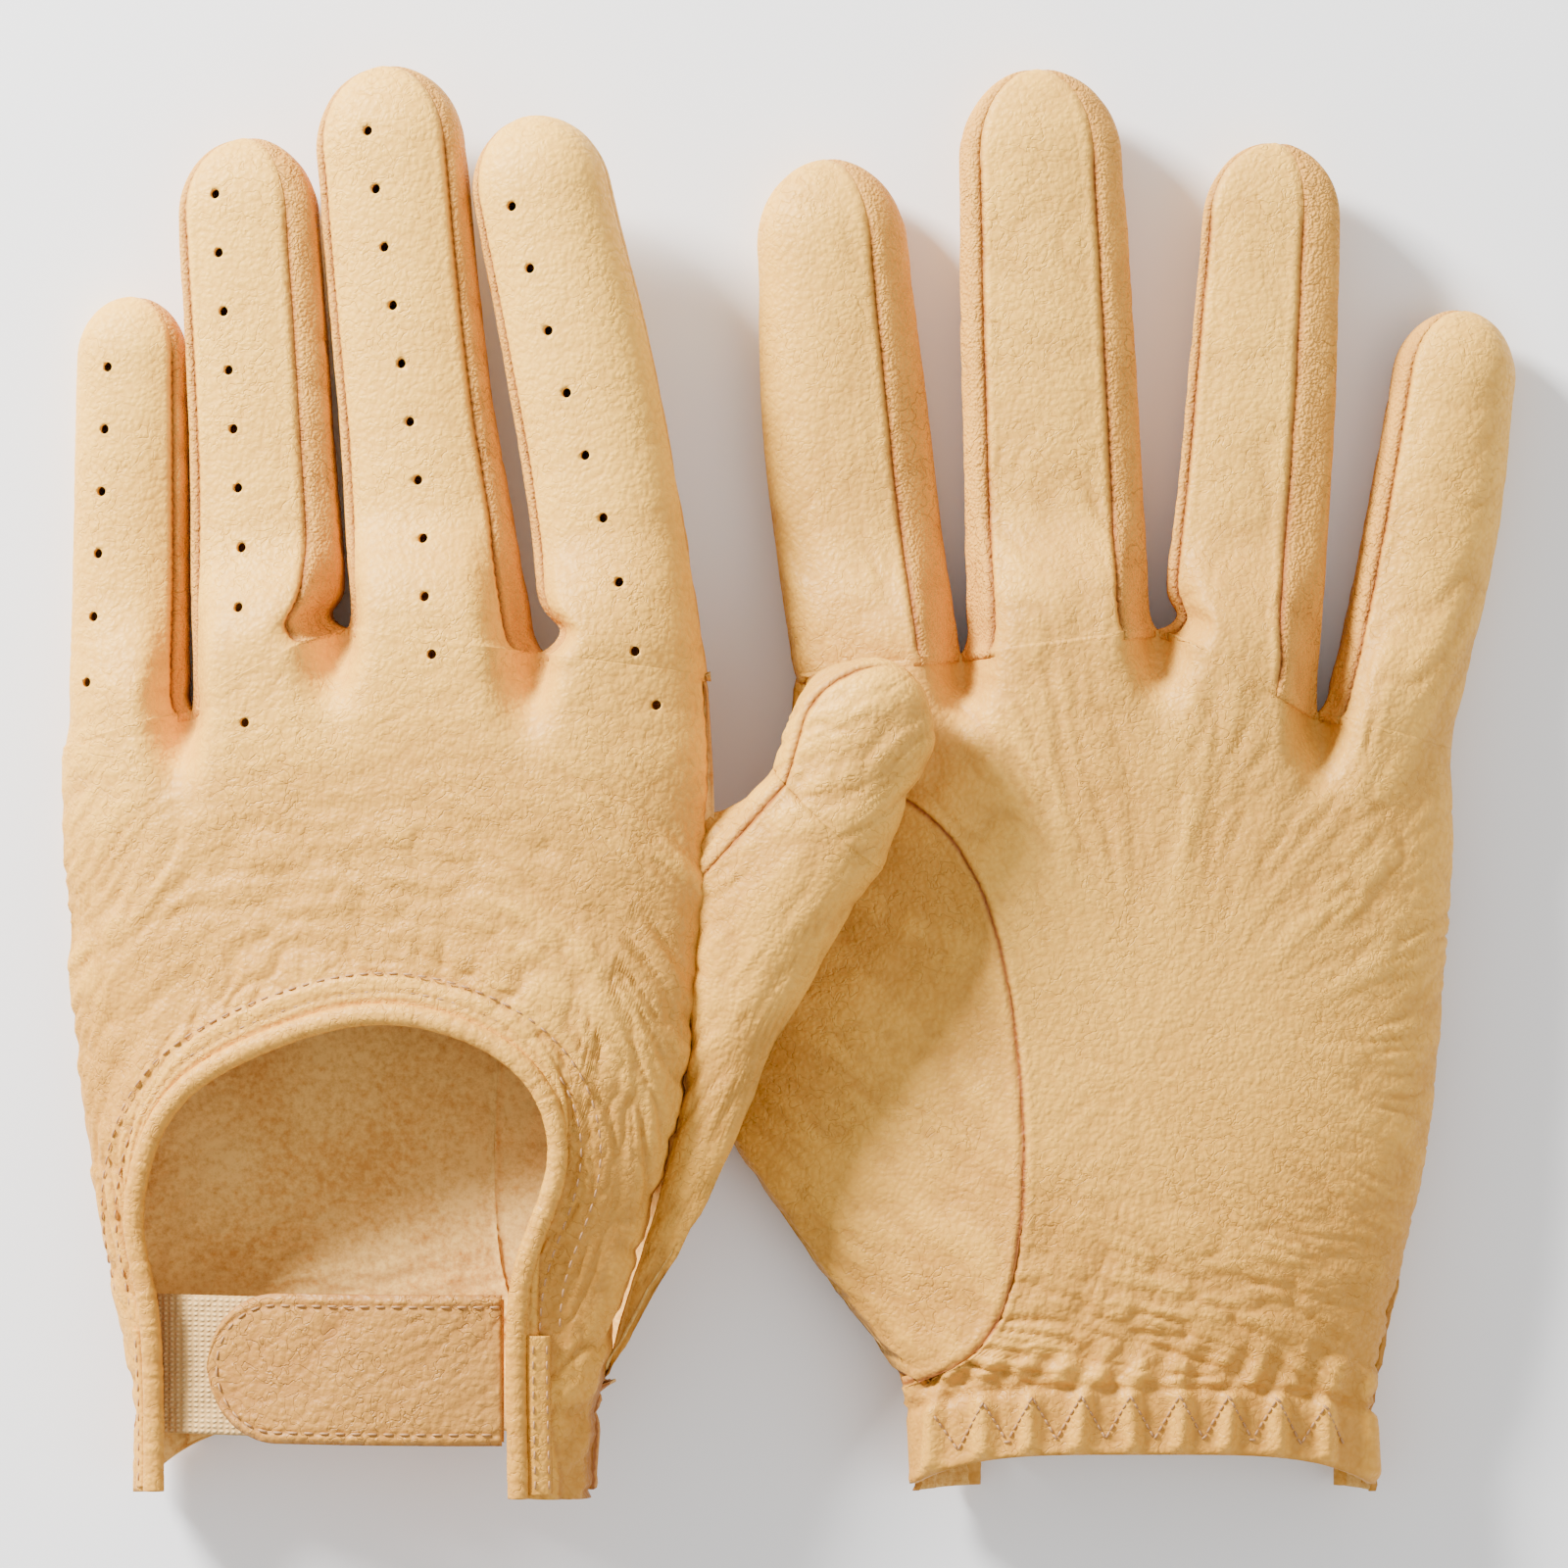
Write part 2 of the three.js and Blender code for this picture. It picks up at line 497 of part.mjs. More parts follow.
// The thumb's heel belongs to the hand. Beyond it, the thumb lifts about its back's surface.
const THUMB_SEAMS = [-0.13, 0.12]; // the small inner panel's seams, as turns round the thumb
const THUMB_SEAM_GAP = 0.006; // half the gap of those seams, in turns
const THUMB_JOIN_GAP = 0.012; // half the gap across the thumb, as a share of its length
function addThumb(hand, glove) {
  const [heelEnd, tipStart] = [THUMB_JOIN - THUMB_JOIN_GAP, THUMB_JOIN + THUMB_JOIN_GAP];
  const [from, to] = THUMB_SEAMS;
  const inner = [from + THUMB_SEAM_GAP, to - THUMB_SEAM_GAP];
  const outer = [to + THUMB_SEAM_GAP, 1 + from - THUMB_SEAM_GAP];
  const { leather } = COLOURS;
  addPanel(hand, glove, "thumb_heel", leather, thumbPanel(glove, [0, heelEnd], outer), LEATHER, 6, 16);
  addPanel(hand, glove, "thumb_quirk", leather, thumbPanel(glove, [0, heelEnd], inner), LEATHER, 6, 5);
  const hinge = thumbRing(glove, THUMB_JOIN, 0.75, 0);
  const body = bodyAt(hand, `${glove.name}_thumb_bend`, onTable(glove, hinge, 0));
  addPanel(body, glove, "thumb_outer", leather, thumbPanel(glove, [tipStart, 1], outer), LEATHER, 7, 12);
  addPanel(body, glove, "thumb_inner", leather, thumbPanel(glove, [tipStart, 1], inner), LEATHER, 7, 4);
}

// The strap: a tape from the little side, and a tab that turns about its sewn end on the thumb side.
function addStrap(hand, glove) {
  const tapeTop = LAYER + LAYER_GAP;
  const hookTop = tapeTop + LAYER + LAYER_GAP;
  const liningTop = hookTop + LAYER + LAYER_GAP;
  const root = STRAP_RIGHT - LAYER_GAP;
  addPanel(hand, glove, "closure_tape", COLOURS.tape,
    strapStrip(glove, STRAP_LEFT + LAYER_GAP, TAPE_LENGTH, TAPE_WIDTH, 0, 0, LAYER), LAYER, 6, 2);
  const pivot = new THREE.Vector3(root, STRAP_CENTRE, strapArch(glove, root) + liningTop + LEATHER);
  const body = bodyAt(hand, `${glove.name}_tab_hinge`, onTable(glove, pivot, 0));
  const hookLength = TAPE_LENGTH - HOOK_SHORTFALL;
  addPanel(body, glove, "tab_hook_patch", COLOURS.hook,
    strapStrip(glove, root - TAB_LENGTH + hookLength + HOOK_INSET, -hookLength, TAB_WIDTH - 2 * HOOK_INSET,
      TAB_WIDTH / 2 - HOOK_INSET, tapeTop, LAYER), LAYER, 8, 2);
  addPanel(body, glove, "tab_lining", COLOURS.suede,
    strapStrip(glove, root, LINING_INSET - TAB_LENGTH, TAB_WIDTH - 2 * LINING_INSET, TAB_WIDTH / 2,
      hookTop, LAYER), LAYER, 12, 2);
  addPanel(body, glove, "tab_leather", COLOURS.leather,
    strapStrip(glove, root, -TAB_LENGTH, TAB_WIDTH, TAB_WIDTH / 2, liningTop, LEATHER), LEATHER, 12, 2);
}

function addHand(parent, glove) {
  const hand = bodyAt(parent, `${glove.name}_hand`, new THREE.Vector3());
  const { leather, suede, elastic } = COLOURS;
  addPanel(hand, glove, "hand_back", leather, handBack(glove), LEATHER, 44, 5);
  addPanel(hand, glove, "palm", leather, palm(glove), LEATHER, 12, 18);
  addPanel(hand, glove, "opening_binding", leather, binding(glove), BINDING_HEIGHT, 44, 2);
  addPanel(hand, glove, "placket_little_side", leather, placket(glove, false), LAYER, 4, 3);
  addPanel(hand, glove, "placket_thumb_side", leather, placket(glove, true), LAYER, 4, 3);
  const elasticDepth = LEATHER + LAYER_GAP;
  const facingDepth = elasticDepth + LAYER + LAYER_GAP;
  addPanel(hand, glove, "wrist_elastic", elastic,
    cuffLayer(glove, elasticDepth, ELASTIC_START, ELASTIC_START + ELASTIC_DEPTH, 0.12), LAYER, 12, 2);
  addPanel(hand, glove, "hem_facing", suede, cuffLayer(glove, facingDepth, 0, HEM_DEPTH, 0.1), LAYER, 12, 2);
  STALLS.forEach((_, index) => addStall(hand, glove, index));
  addThumb(hand, glove);
  addStrap(hand, glove);
}

const pair = new THREE.Group();
pair.userData.pivot = new THREE.Vector3();
[LOWER, UPPER].forEach((glove) => addHand(pair, glove));

// The origin goes under the centre of the pair's bounding box.
const bounds = new THREE.Box3().setFromObject(pair);
const middle = bounds.getCenter(new THREE.Vector3());
pair.position.set(-middle.x, -middle.y, -bounds.min.z);

export default pair;
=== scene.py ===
"""Two unlined tan deerskin driving gloves for the left hand, one laid partly on the other.

Every surface is worked out in a glove's own hand frame: x towards the thumb, y towards the
fingertips, z out of the back of the hand, with the side seams in the plane z = 0. The frame, the
outlines and all sizes are measured from the CAD nodes and joints. Lengths are in metres.
"""
import json
from types import SimpleNamespace

import bpy
import bmesh
import numpy as np
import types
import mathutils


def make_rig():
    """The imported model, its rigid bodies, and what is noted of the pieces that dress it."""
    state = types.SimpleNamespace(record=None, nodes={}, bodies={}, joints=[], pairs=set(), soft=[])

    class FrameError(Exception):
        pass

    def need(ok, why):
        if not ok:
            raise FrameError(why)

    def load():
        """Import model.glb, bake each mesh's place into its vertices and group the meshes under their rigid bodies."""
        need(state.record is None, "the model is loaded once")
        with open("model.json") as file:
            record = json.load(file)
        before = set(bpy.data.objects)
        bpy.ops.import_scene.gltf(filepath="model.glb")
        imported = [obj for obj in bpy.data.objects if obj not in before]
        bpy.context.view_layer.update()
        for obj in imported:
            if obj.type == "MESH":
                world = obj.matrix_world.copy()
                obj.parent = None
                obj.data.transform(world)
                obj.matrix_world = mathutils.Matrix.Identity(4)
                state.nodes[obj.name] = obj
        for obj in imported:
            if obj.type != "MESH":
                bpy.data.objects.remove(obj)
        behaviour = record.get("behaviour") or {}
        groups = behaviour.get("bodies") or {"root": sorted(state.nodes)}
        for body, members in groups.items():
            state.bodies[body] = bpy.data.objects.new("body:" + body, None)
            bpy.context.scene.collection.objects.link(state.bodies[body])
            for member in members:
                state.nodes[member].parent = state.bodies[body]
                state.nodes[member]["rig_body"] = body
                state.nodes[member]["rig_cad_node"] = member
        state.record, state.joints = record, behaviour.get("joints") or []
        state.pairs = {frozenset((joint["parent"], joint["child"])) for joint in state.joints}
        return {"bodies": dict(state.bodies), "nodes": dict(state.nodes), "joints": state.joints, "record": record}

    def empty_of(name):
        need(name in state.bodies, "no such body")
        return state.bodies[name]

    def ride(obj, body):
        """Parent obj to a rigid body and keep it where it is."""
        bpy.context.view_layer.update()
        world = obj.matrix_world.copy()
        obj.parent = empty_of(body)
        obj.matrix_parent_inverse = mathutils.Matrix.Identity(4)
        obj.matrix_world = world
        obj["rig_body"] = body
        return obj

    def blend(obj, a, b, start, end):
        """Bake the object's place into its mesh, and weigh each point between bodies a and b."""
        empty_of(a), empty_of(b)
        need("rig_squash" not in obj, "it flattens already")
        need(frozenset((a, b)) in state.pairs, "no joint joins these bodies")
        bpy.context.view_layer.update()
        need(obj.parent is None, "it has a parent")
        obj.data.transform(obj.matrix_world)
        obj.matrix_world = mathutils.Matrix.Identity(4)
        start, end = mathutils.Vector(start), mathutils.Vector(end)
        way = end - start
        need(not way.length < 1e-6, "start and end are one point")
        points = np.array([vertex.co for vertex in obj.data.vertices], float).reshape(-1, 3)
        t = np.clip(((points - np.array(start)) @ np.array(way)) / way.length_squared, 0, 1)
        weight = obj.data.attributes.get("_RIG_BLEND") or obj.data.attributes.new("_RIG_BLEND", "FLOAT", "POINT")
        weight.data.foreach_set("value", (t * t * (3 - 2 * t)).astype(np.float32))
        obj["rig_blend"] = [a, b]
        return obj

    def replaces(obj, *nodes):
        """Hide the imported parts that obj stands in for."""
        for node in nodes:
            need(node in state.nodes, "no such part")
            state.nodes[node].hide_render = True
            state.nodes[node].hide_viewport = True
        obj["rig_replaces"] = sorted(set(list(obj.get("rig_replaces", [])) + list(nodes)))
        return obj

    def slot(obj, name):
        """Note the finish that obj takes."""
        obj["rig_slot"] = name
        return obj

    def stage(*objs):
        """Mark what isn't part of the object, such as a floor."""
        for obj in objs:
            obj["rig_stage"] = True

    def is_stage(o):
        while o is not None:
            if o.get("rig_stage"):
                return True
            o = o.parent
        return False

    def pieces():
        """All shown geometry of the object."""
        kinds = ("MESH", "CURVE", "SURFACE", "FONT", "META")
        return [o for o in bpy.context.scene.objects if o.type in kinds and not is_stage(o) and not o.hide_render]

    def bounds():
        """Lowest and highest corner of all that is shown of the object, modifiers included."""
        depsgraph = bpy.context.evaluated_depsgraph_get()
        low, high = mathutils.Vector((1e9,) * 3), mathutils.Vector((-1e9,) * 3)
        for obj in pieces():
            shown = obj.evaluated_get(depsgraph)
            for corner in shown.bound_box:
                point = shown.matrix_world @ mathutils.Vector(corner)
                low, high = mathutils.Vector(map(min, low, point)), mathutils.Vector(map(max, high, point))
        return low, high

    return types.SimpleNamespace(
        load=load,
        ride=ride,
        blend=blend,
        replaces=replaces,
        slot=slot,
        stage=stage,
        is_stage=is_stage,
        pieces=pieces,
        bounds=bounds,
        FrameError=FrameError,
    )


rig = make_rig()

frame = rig.load()
CAD_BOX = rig.bounds()

MM = 0.001
STALLS = ["little", "ring", "middle", "index"]
LEATHER = 1.05 * MM        # thickness of a leather panel
HAND_POWER = 2.6           # roundness of the hand's cross-section
STALL_POWER = 2.3          # roundness of a stall's cross-section
ROOT_LENGTH = 20 * MM      # a stall takes its own section over this distance
PIT_WIDTH = 3.4 * MM       # hollow where two stalls meet
PIT_LENGTH = 8 * MM
PIT_DEPTH = 0.8            # as a share of the hand's height there
BINDING_HALF = 1.6 * MM    # half width of the cut-out's rolled binding
BINDING_TALL = 1.35 * MM   # half height
WELT_LINES = [1.7 * MM, 4.4 * MM]   # stitched lines outside the binding
THUMB_JOIN = 0.42          # share of the thumb where it leaves the heel
QUIRK = (-0.13, 0.12)      # seams of the small inner panel, as turns round the thumb
FLOOR = 0.15 * MM          # the underside stays this far above the table
SEAM = 0.55 * MM           # half width of a seam's groove
SEAM_DEPTH = 0.5 * MM
CUFF_BAND = 11 * MM        # height of the gathered band at the wrist
TAB_BORDER = 1.7 * MM      # the tab's stitches stand this far inside its edge
BACK_FOLDS = 2.2 * MM      # height of the folds on the back
PALM_FOLDS = 2.0 * MM      # height of the folds on the palm
BEND_LENGTH = 11 * MM      # a stall or thumb bends over this distance from its root

# ---------------------------------------------------------------- numbers and measures


def ease(x):
    """Smooth step from 0 to 1: 3x squared less 2x cubed, held outside."""
    x = np.clip(x, 0, 1)
    return x * x * (3 - 2 * x)


def dome(share, power):
    """Height of a superellipse of unit half width and height at a share of its half width."""
    return (1 - np.minimum(1, np.abs(share)) ** power) ** (1 / power)


def unit(vector):
    vector = np.asarray(vector, float)
    return vector / np.linalg.norm(vector)


def smooth(values, passes):
    """Repeated averages of each value with its neighbours, ends held."""
    values = np.array(values, float)
    for _ in range(passes):
        values[1:-1] = (values[:-2] + 2 * values[1:-1] + values[2:]) / 4
    return values


def edges_of(glove, *nodes):
    """The edges of CAD nodes as pairs of points, in the hand frame."""
    found = []
    for node in nodes:
        mesh = frame["nodes"][f"{glove.name}_{node}"].data
        points = np.empty(len(mesh.vertices) * 3)
        mesh.vertices.foreach_get("co", points)
        pairs = np.empty(len(mesh.edges) * 2, np.int32)
        mesh.edges.foreach_get("vertices", pairs)
        found.append(to_hand(glove, points.reshape(-1, 3))[pairs.reshape(-1, 2)])
    return np.concatenate(found)


def spans(edges, origin, along, across, stations):
    """Lowest and highest reach along one direction, where the edges cross each station of another."""
    (a0, a1), (c0, c1) = ((edges - origin) @ along).T, ((edges - origin) @ across).T
    with np.errstate(divide="ignore", invalid="ignore"):
        share = (stations[:, None] - a0) / (a1 - a0)
    hit = (share >= 0) & (share <= 1)
    at = c0 + np.where(hit, share, 0) * (c1 - c0)
    low = np.where(hit, at, np.inf).min(1)
    high = np.where(hit, at, -np.inf).max(1)
    known = np.isfinite(low)
    return [np.interp(stations, stations[known], line[known]) for line in (low, high)]


TABLE = np.random.default_rng(7).random((256, 256))


def noise(x, y):
    """Value noise from 0 to 1: a table of random values, blended smoothly between whole numbers."""
    x, y = np.broadcast_arrays(np.asarray(x, float), np.asarray(y, float))
    column, row = np.floor(x).astype(int), np.floor(y).astype(int)
    fx, fy = ease(x - column), ease(y - row)
    near = TABLE[column % 256, row % 256] * (1 - fx) + TABLE[(column + 1) % 256, row % 256] * fx
    far = (TABLE[column % 256, (row + 1) % 256] * (1 - fx)
           + TABLE[(column + 1) % 256, (row + 1) % 256] * fx)
    return near * (1 - fy) + far * fy


def creases(x, y, sharpness=5):
    """Lines where noise crosses its middle: 1 on a line, falling off to 0 beside it."""
    return (1 - np.abs(2 * noise(x, y) - 1)) ** sharpness


def wrinkles(along, across):
    """Fine folds about 1.4 mm apart and 8 mm long, with wider ones under them; lengths in metres."""
    drift = (noise(along / 0.014, across / 0.011) - 0.5) * 0.005
    across = across + drift
    fine = creases(along / 0.0075, across / 0.0022, 3)
    finer = creases(along / 0.0045 + 40, across / 0.0012 + 9, 3)
    broad = noise(along / 0.028 + 17, across / 0.0065 + 5) - 0.5
    return 0.55 * broad - 0.30 * fine - 0.16 * finer


# ---------------------------------------------------------------- the two gloves


def to_hand(glove, points):
    """From the table to the glove's hand frame."""
    moved = points - glove.origin
    return np.stack([moved @ glove.x, moved @ glove.y, moved @ glove.z], -1)


def to_table(glove, points):
    """From the hand frame to the table; nothing sinks below the table's surface."""
    world = (glove.origin + points[..., :1] * glove.x + points[..., 1:2] * glove.y
             + points[..., 2:] * glove.z)
    world[..., 2] = np.maximum(world[..., 2], FLOOR)
    return world


def read_glove(name):
    """Measures a glove: its hand frame, outline, knuckle line, crowns, stalls, cut-out and thumb."""
    is_back_up = name == "upper"
    joints = {j["name"]: j for j in frame["joints"]}
    axes = [unit(joints[f"{name}_{stall}_bend"]["axis"]) for stall in STALLS]
    up = unit(np.cross(axes[0], axes[3]))
    up = up * np.sign(up[2])
    y = np.array([0.0, 1.0, 0.0])
    x = np.cross(y, up) * (1 if is_back_up else -1)
    glove = SimpleNamespace(name=name, x=x, y=y, z=up if is_back_up else -up, up=up,
                            back_up=is_back_up, origin=np.zeros(3), joints=joints)
    hand = edges_of(glove, "hand_back", "palm")
    corners = hand.reshape(-1, 3)
    widest = corners[corners[:, 0] < corners[:, 0].min() + 0.4 * MM]
    glove.origin = glove.z * widest[:, 2].mean()
    measure_hand(glove)
    glove.stalls = {stall: measure_stall(glove, i) for i, stall in enumerate(STALLS)}
    measure_cut_out(glove)
    measure_thumb(glove)
    return glove


def measure_hand(glove):
    """Side seams as x over y, the crowns of back and palm, and the knuckle line's five points."""
    back, palm = edges_of(glove, "hand_back"), edges_of(glove, "palm")
    both = np.concatenate([back, palm])
    x, y, z = np.eye(3)
    glove.cuff = back[..., 1].min()
    glove.palm_cuff = palm[..., 1].min()
    corners = back.reshape(-1, 3)
    first = corners[np.argmax(corners[:, 1] - corners[:, 0])]
    last = corners[np.argmax(corners[:, 1] + corners[:, 0])]
    top = max(first[1], last[1])
    glove.stations = np.linspace(glove.cuff + 0.2 * MM, top - 0.2 * MM, 120)
    low, high = spans(back, np.zeros(3), y, x, glove.stations)
    glove.low, glove.high = smooth(low, 10), smooth(high, 10)
    level = np.array([glove.cuff + 0.7 * (top - glove.cuff)])
    heights = spans(both, np.zeros(3), y, z, level)
    glove.crown = {True: heights[1][0], False: -heights[0][0]}
    places = np.array([glove.joints[f"{glove.name}_{stall}_bend"]["pos_m"] for stall in STALLS])
    glove.roots = to_hand(glove, places)[:, :2]
    # Each root is midway between two knuckle points, which leaves one free choice: the one that
    # brings the outer two nearest to the back's corners.
    chain = [first[:2]]
    for root in glove.roots:
        chain.append(2 * root - chain[-1])
    miss = chain[-1] - last[:2]
    glove.knuckles = np.array([point - miss / 2 * (-1) ** k for k, point in enumerate(chain)])
    # The side seams run on straight to the knuckle line's ends.
    for line, corner in ((glove.low, glove.knuckles[0]), (glove.high, glove.knuckles[4])):
        keep = glove.stations < corner[1] - 14 * MM
        line[:] = np.interp(glove.stations, [*glove.stations[keep], corner[1]], [*line[keep], corner[0]])
        line[:] = smooth(line, 4)


def measure_stall(glove, index):
    """A stall's root, direction, length, edges, heights and seams, from its nodes and its joint."""
    name = STALLS[index]
    sides = [STALLS[i] for i in (index - 1, index + 1) if 0 <= i < 4]
    nodes = [f"{name}_back", f"{name}_front"] + [f"{name}_fourchette_by_{beside}" for beside in sides]
    axis = np.array(glove.joints[f"{glove.name}_{name}_bend"]["axis"])
    forward = np.cross(glove.up, axis)
    forward = np.array([forward @ glove.x, forward @ glove.y, 0])
    forward = unit(forward) * np.sign(forward[1])
    sideways = np.array([forward[1], -forward[0], 0])
    root = np.array([*glove.roots[index], 0])
    edges = edges_of(glove, *nodes)
    length = ((edges - root) @ forward).max()
    t = np.linspace(4 * MM, length - 0.5 * MM, 90)
    low, high = spans(edges, root, forward, sideways, t)
    bottom, top = spans(edges, root, forward, np.array([0, 0, 1.0]), t)
    cap = 0.55 * (high - low)[60]
    body = t < length - cap * 1.25
    hold = lambda line: smooth(np.interp(t, t[body], line[body]), 30)
    points = edges.reshape(-1, 3)
    reach = (points - root) @ sideways
    outer = np.abs(reach) > 0.97 * np.abs(reach).max()
    seams = {}
    middle = np.array([0.5 * length])
    width = spans(edges, root, forward, sideways, middle)
    for face in ("back", "front"):
        panel = edges_of(glove, f"{name}_{face}")
        reach = spans(panel, root, forward, sideways, middle)
        seams[face] = [min(1.0, reach[k][0] / width[k][0]) for k in (0, 1)]
        # The outer stalls have no side strip on their outer side: back meets front there.
        if index in (0, 3):
            seams[face][index // 3] = 1.0
    return SimpleNamespace(name=name, index=index, root=root, forward=forward, sideways=sideways,
                           length=length, cap=cap, t=t, low=hold(low), high=hold(high),
                           bottom=hold(bottom), top=hold(top), centre=points[outer][:, 2].mean(),
                           seams=seams, ends=glove.knuckles[index:index + 2])


def measure_cut_out(glove):
    """The cut-out's inner edge, found by rays from a point inside it, and resampled evenly."""
    edges = edges_of(glove, "opening_binding")
    low, high = edges.reshape(-1, 3).min(0), edges.reshape(-1, 3).max(0)
    centre = np.array([(low[0] + high[0]) / 2, low[1] + 0.5 * (high[1] - low[1]), 0])
    points = edges.reshape(-1, 3)
    feet = points[points[:, 1] < low[1] + 0.6 * MM] - centre
    left = feet[feet[:, 0] < 0][:, 0].max(), feet[feet[:, 0] > 0][:, 0].min()
    turn = np.arctan2(low[1] - centre[1], np.array(left))
    angles = np.linspace(turn[0] % (2 * np.pi), turn[1], 181)[1:-1]
    line = []
    for angle in angles:
        ray = np.array([np.cos(angle), np.sin(angle), 0])
        beside = np.array([-np.sin(angle), np.cos(angle), 0])
        ahead = edges[((edges - centre) @ ray > 0).all(1)]
        inner = spans(ahead, centre, beside, ray, np.array([0.0, 1e-9]))[0][0]
        line.append(centre[:2] + inner * ray[:2])
    line = smooth_path(np.array(line), 6)
    foot = low[1]
    line = np.concatenate([[[line[0, 0], foot]], line, [[line[-1, 0], foot]]])
    glove.cut_out = resample(line, 241)


def smooth_path(line, passes):
    return np.stack([smooth(line[:, k], passes) for k in range(line.shape[1])], 1)


def resample(line, count):
    """The same path with evenly spaced points."""
    steps = np.linalg.norm(np.diff(line, axis=0), axis=1)
    along = np.concatenate([[0], np.cumsum(steps)])
    at = np.linspace(0, along[-1], count)
    return np.stack([np.interp(at, along, line[:, k]) for k in range(line.shape[1])], 1)


def measure_thumb(glove):
    """The thumb's seam in the palm, and its own axis with half widths and depths along it."""
    x, y, z = np.eye(3)
    palm = edges_of(glove, "palm")
    inner = spans(palm, np.zeros(3), y, x, glove.stations)[1]
    is_hole = glove.high - inner > 1.5 * MM
    where = glove.stations[is_hole]
    glove.thumb_foot, glove.thumb_top = where[0], where[-1]
    glove.thumb_arc = (where, smooth(inner[is_hole], 4))
    tip_edges = edges_of(glove, "thumb_outer", "thumb_inner")
    points = tip_edges.reshape(-1, 3)
    loop_centre = np.array([glove.high[is_hole].mean() - 10 * MM, where.mean(), 0])
    tip = points[np.argmax(np.linalg.norm(points - loop_centre, axis=1))]
    near = points[np.linalg.norm(points - loop_centre, axis=1).argsort()[:40]].mean(0)
    direction = unit([*(tip - near)[:2], 0])
    across = np.array([direction[1], -direction[0], 0])
    reach = (points - near) @ direction
    start = np.percentile(reach, 22)
    s = np.linspace(start, reach.max() - 0.4 * MM, 60)
    low, high = spans(tip_edges, near, direction, across, s)
    bottom, top = spans(tip_edges, near, direction, z, s)
    cap = 0.52 * (high - low)[30]
    body = s < s[-1] - cap * 1.1
    hold = lambda line: smooth(np.interp(s, s[body], line[body]), 20)
    glove.thumb = SimpleNamespace(base=near, direction=direction, across=across, s=s, cap=cap,
                                  low=hold(low), high=hold(high), bottom=hold(bottom), top=hold(top),
                                  heart=loop_centre, end=reach.max())


# ---------------------------------------------------------------- surfaces in the hand frame


def sides_at(glove, y):
    """The side seams' x at height y."""
    return np.interp(y, glove.stations, glove.low), np.interp(y, glove.stations, glove.high)


def hand_height(glove, x, y, is_back):
    """A superellipse between the side seams, lower towards the cuff, with a pit at each crotch."""
    low, high = sides_at(glove, y)
    share = np.clip((2 * x - low - high) / (high - low), -1, 1)
    crown = glove.crown[is_back] * (0.86 + 0.14 * ease((y - glove.cuff) / 0.05))
    pit = sum(np.exp(-((x - kx) / PIT_WIDTH) ** 2 - ((y - ky) / PIT_LENGTH) ** 2)
              for kx, ky in glove.knuckles[1:4])
    return crown * dome(share, HAND_POWER) * (1 - PIT_DEPTH * np.minimum(1, pit))


def hand_point(glove, x, y, is_back):
    """The point of the hand's skin at plan position (x, y), on its back or its palm."""
    height = hand_height(glove, x, y, is_back)
    return np.stack([x + 0 * y, y + 0 * x, height if is_back else -height], -1)


def knuckle_line(glove, s):
    """The knuckle line's point at share s, a quarter of the shares to each stall."""
    at = np.arange(5) / 4
    return np.stack([np.interp(s, at, glove.knuckles[:, k]) for k in (0, 1)], -1)


SIDE_SHARE = 0.28


def back_outline(glove, q):
    """The back's outer outline from the cuff, up the little side, over the knuckles and down."""
    first, last = glove.knuckles[0], glove.knuckles[4]
    rise = glove.cuff + (first[1] - glove.cuff) * q / SIDE_SHARE
    fall = glove.cuff + (last[1] - glove.cuff) * (1 - q) / SIDE_SHARE
    top = knuckle_line(glove, (q - SIDE_SHARE) / (1 - 2 * SIDE_SHARE))
    x = np.where(q < SIDE_SHARE, sides_at(glove, rise)[0],
                 np.where(q > 1 - SIDE_SHARE, sides_at(glove, fall)[1], top[..., 0]))
    y = np.where(q < SIDE_SHARE, rise, np.where(q > 1 - SIDE_SHARE, fall, top[..., 1]))
    return np.stack([x, y], -1)


def cut_out(glove, q, out):
    """The cut-out's edge at share q, moved outwards."""
    at = np.linspace(0, 1, len(glove.cut_out))
    step = np.gradient(glove.cut_out, axis=0)
    normal = np.stack([-step[:, 1], step[:, 0]], 1) / np.linalg.norm(step, axis=1)[:, None]
    normal = smooth_path(normal, 6)
    edge = np.stack([np.interp(q, at, glove.cut_out[:, k]) for k in (0, 1)], -1)
    away = np.stack([np.interp(q, at, normal[:, k]) for k in (0, 1)], -1)
    return edge + away * np.asarray(out)[..., None]


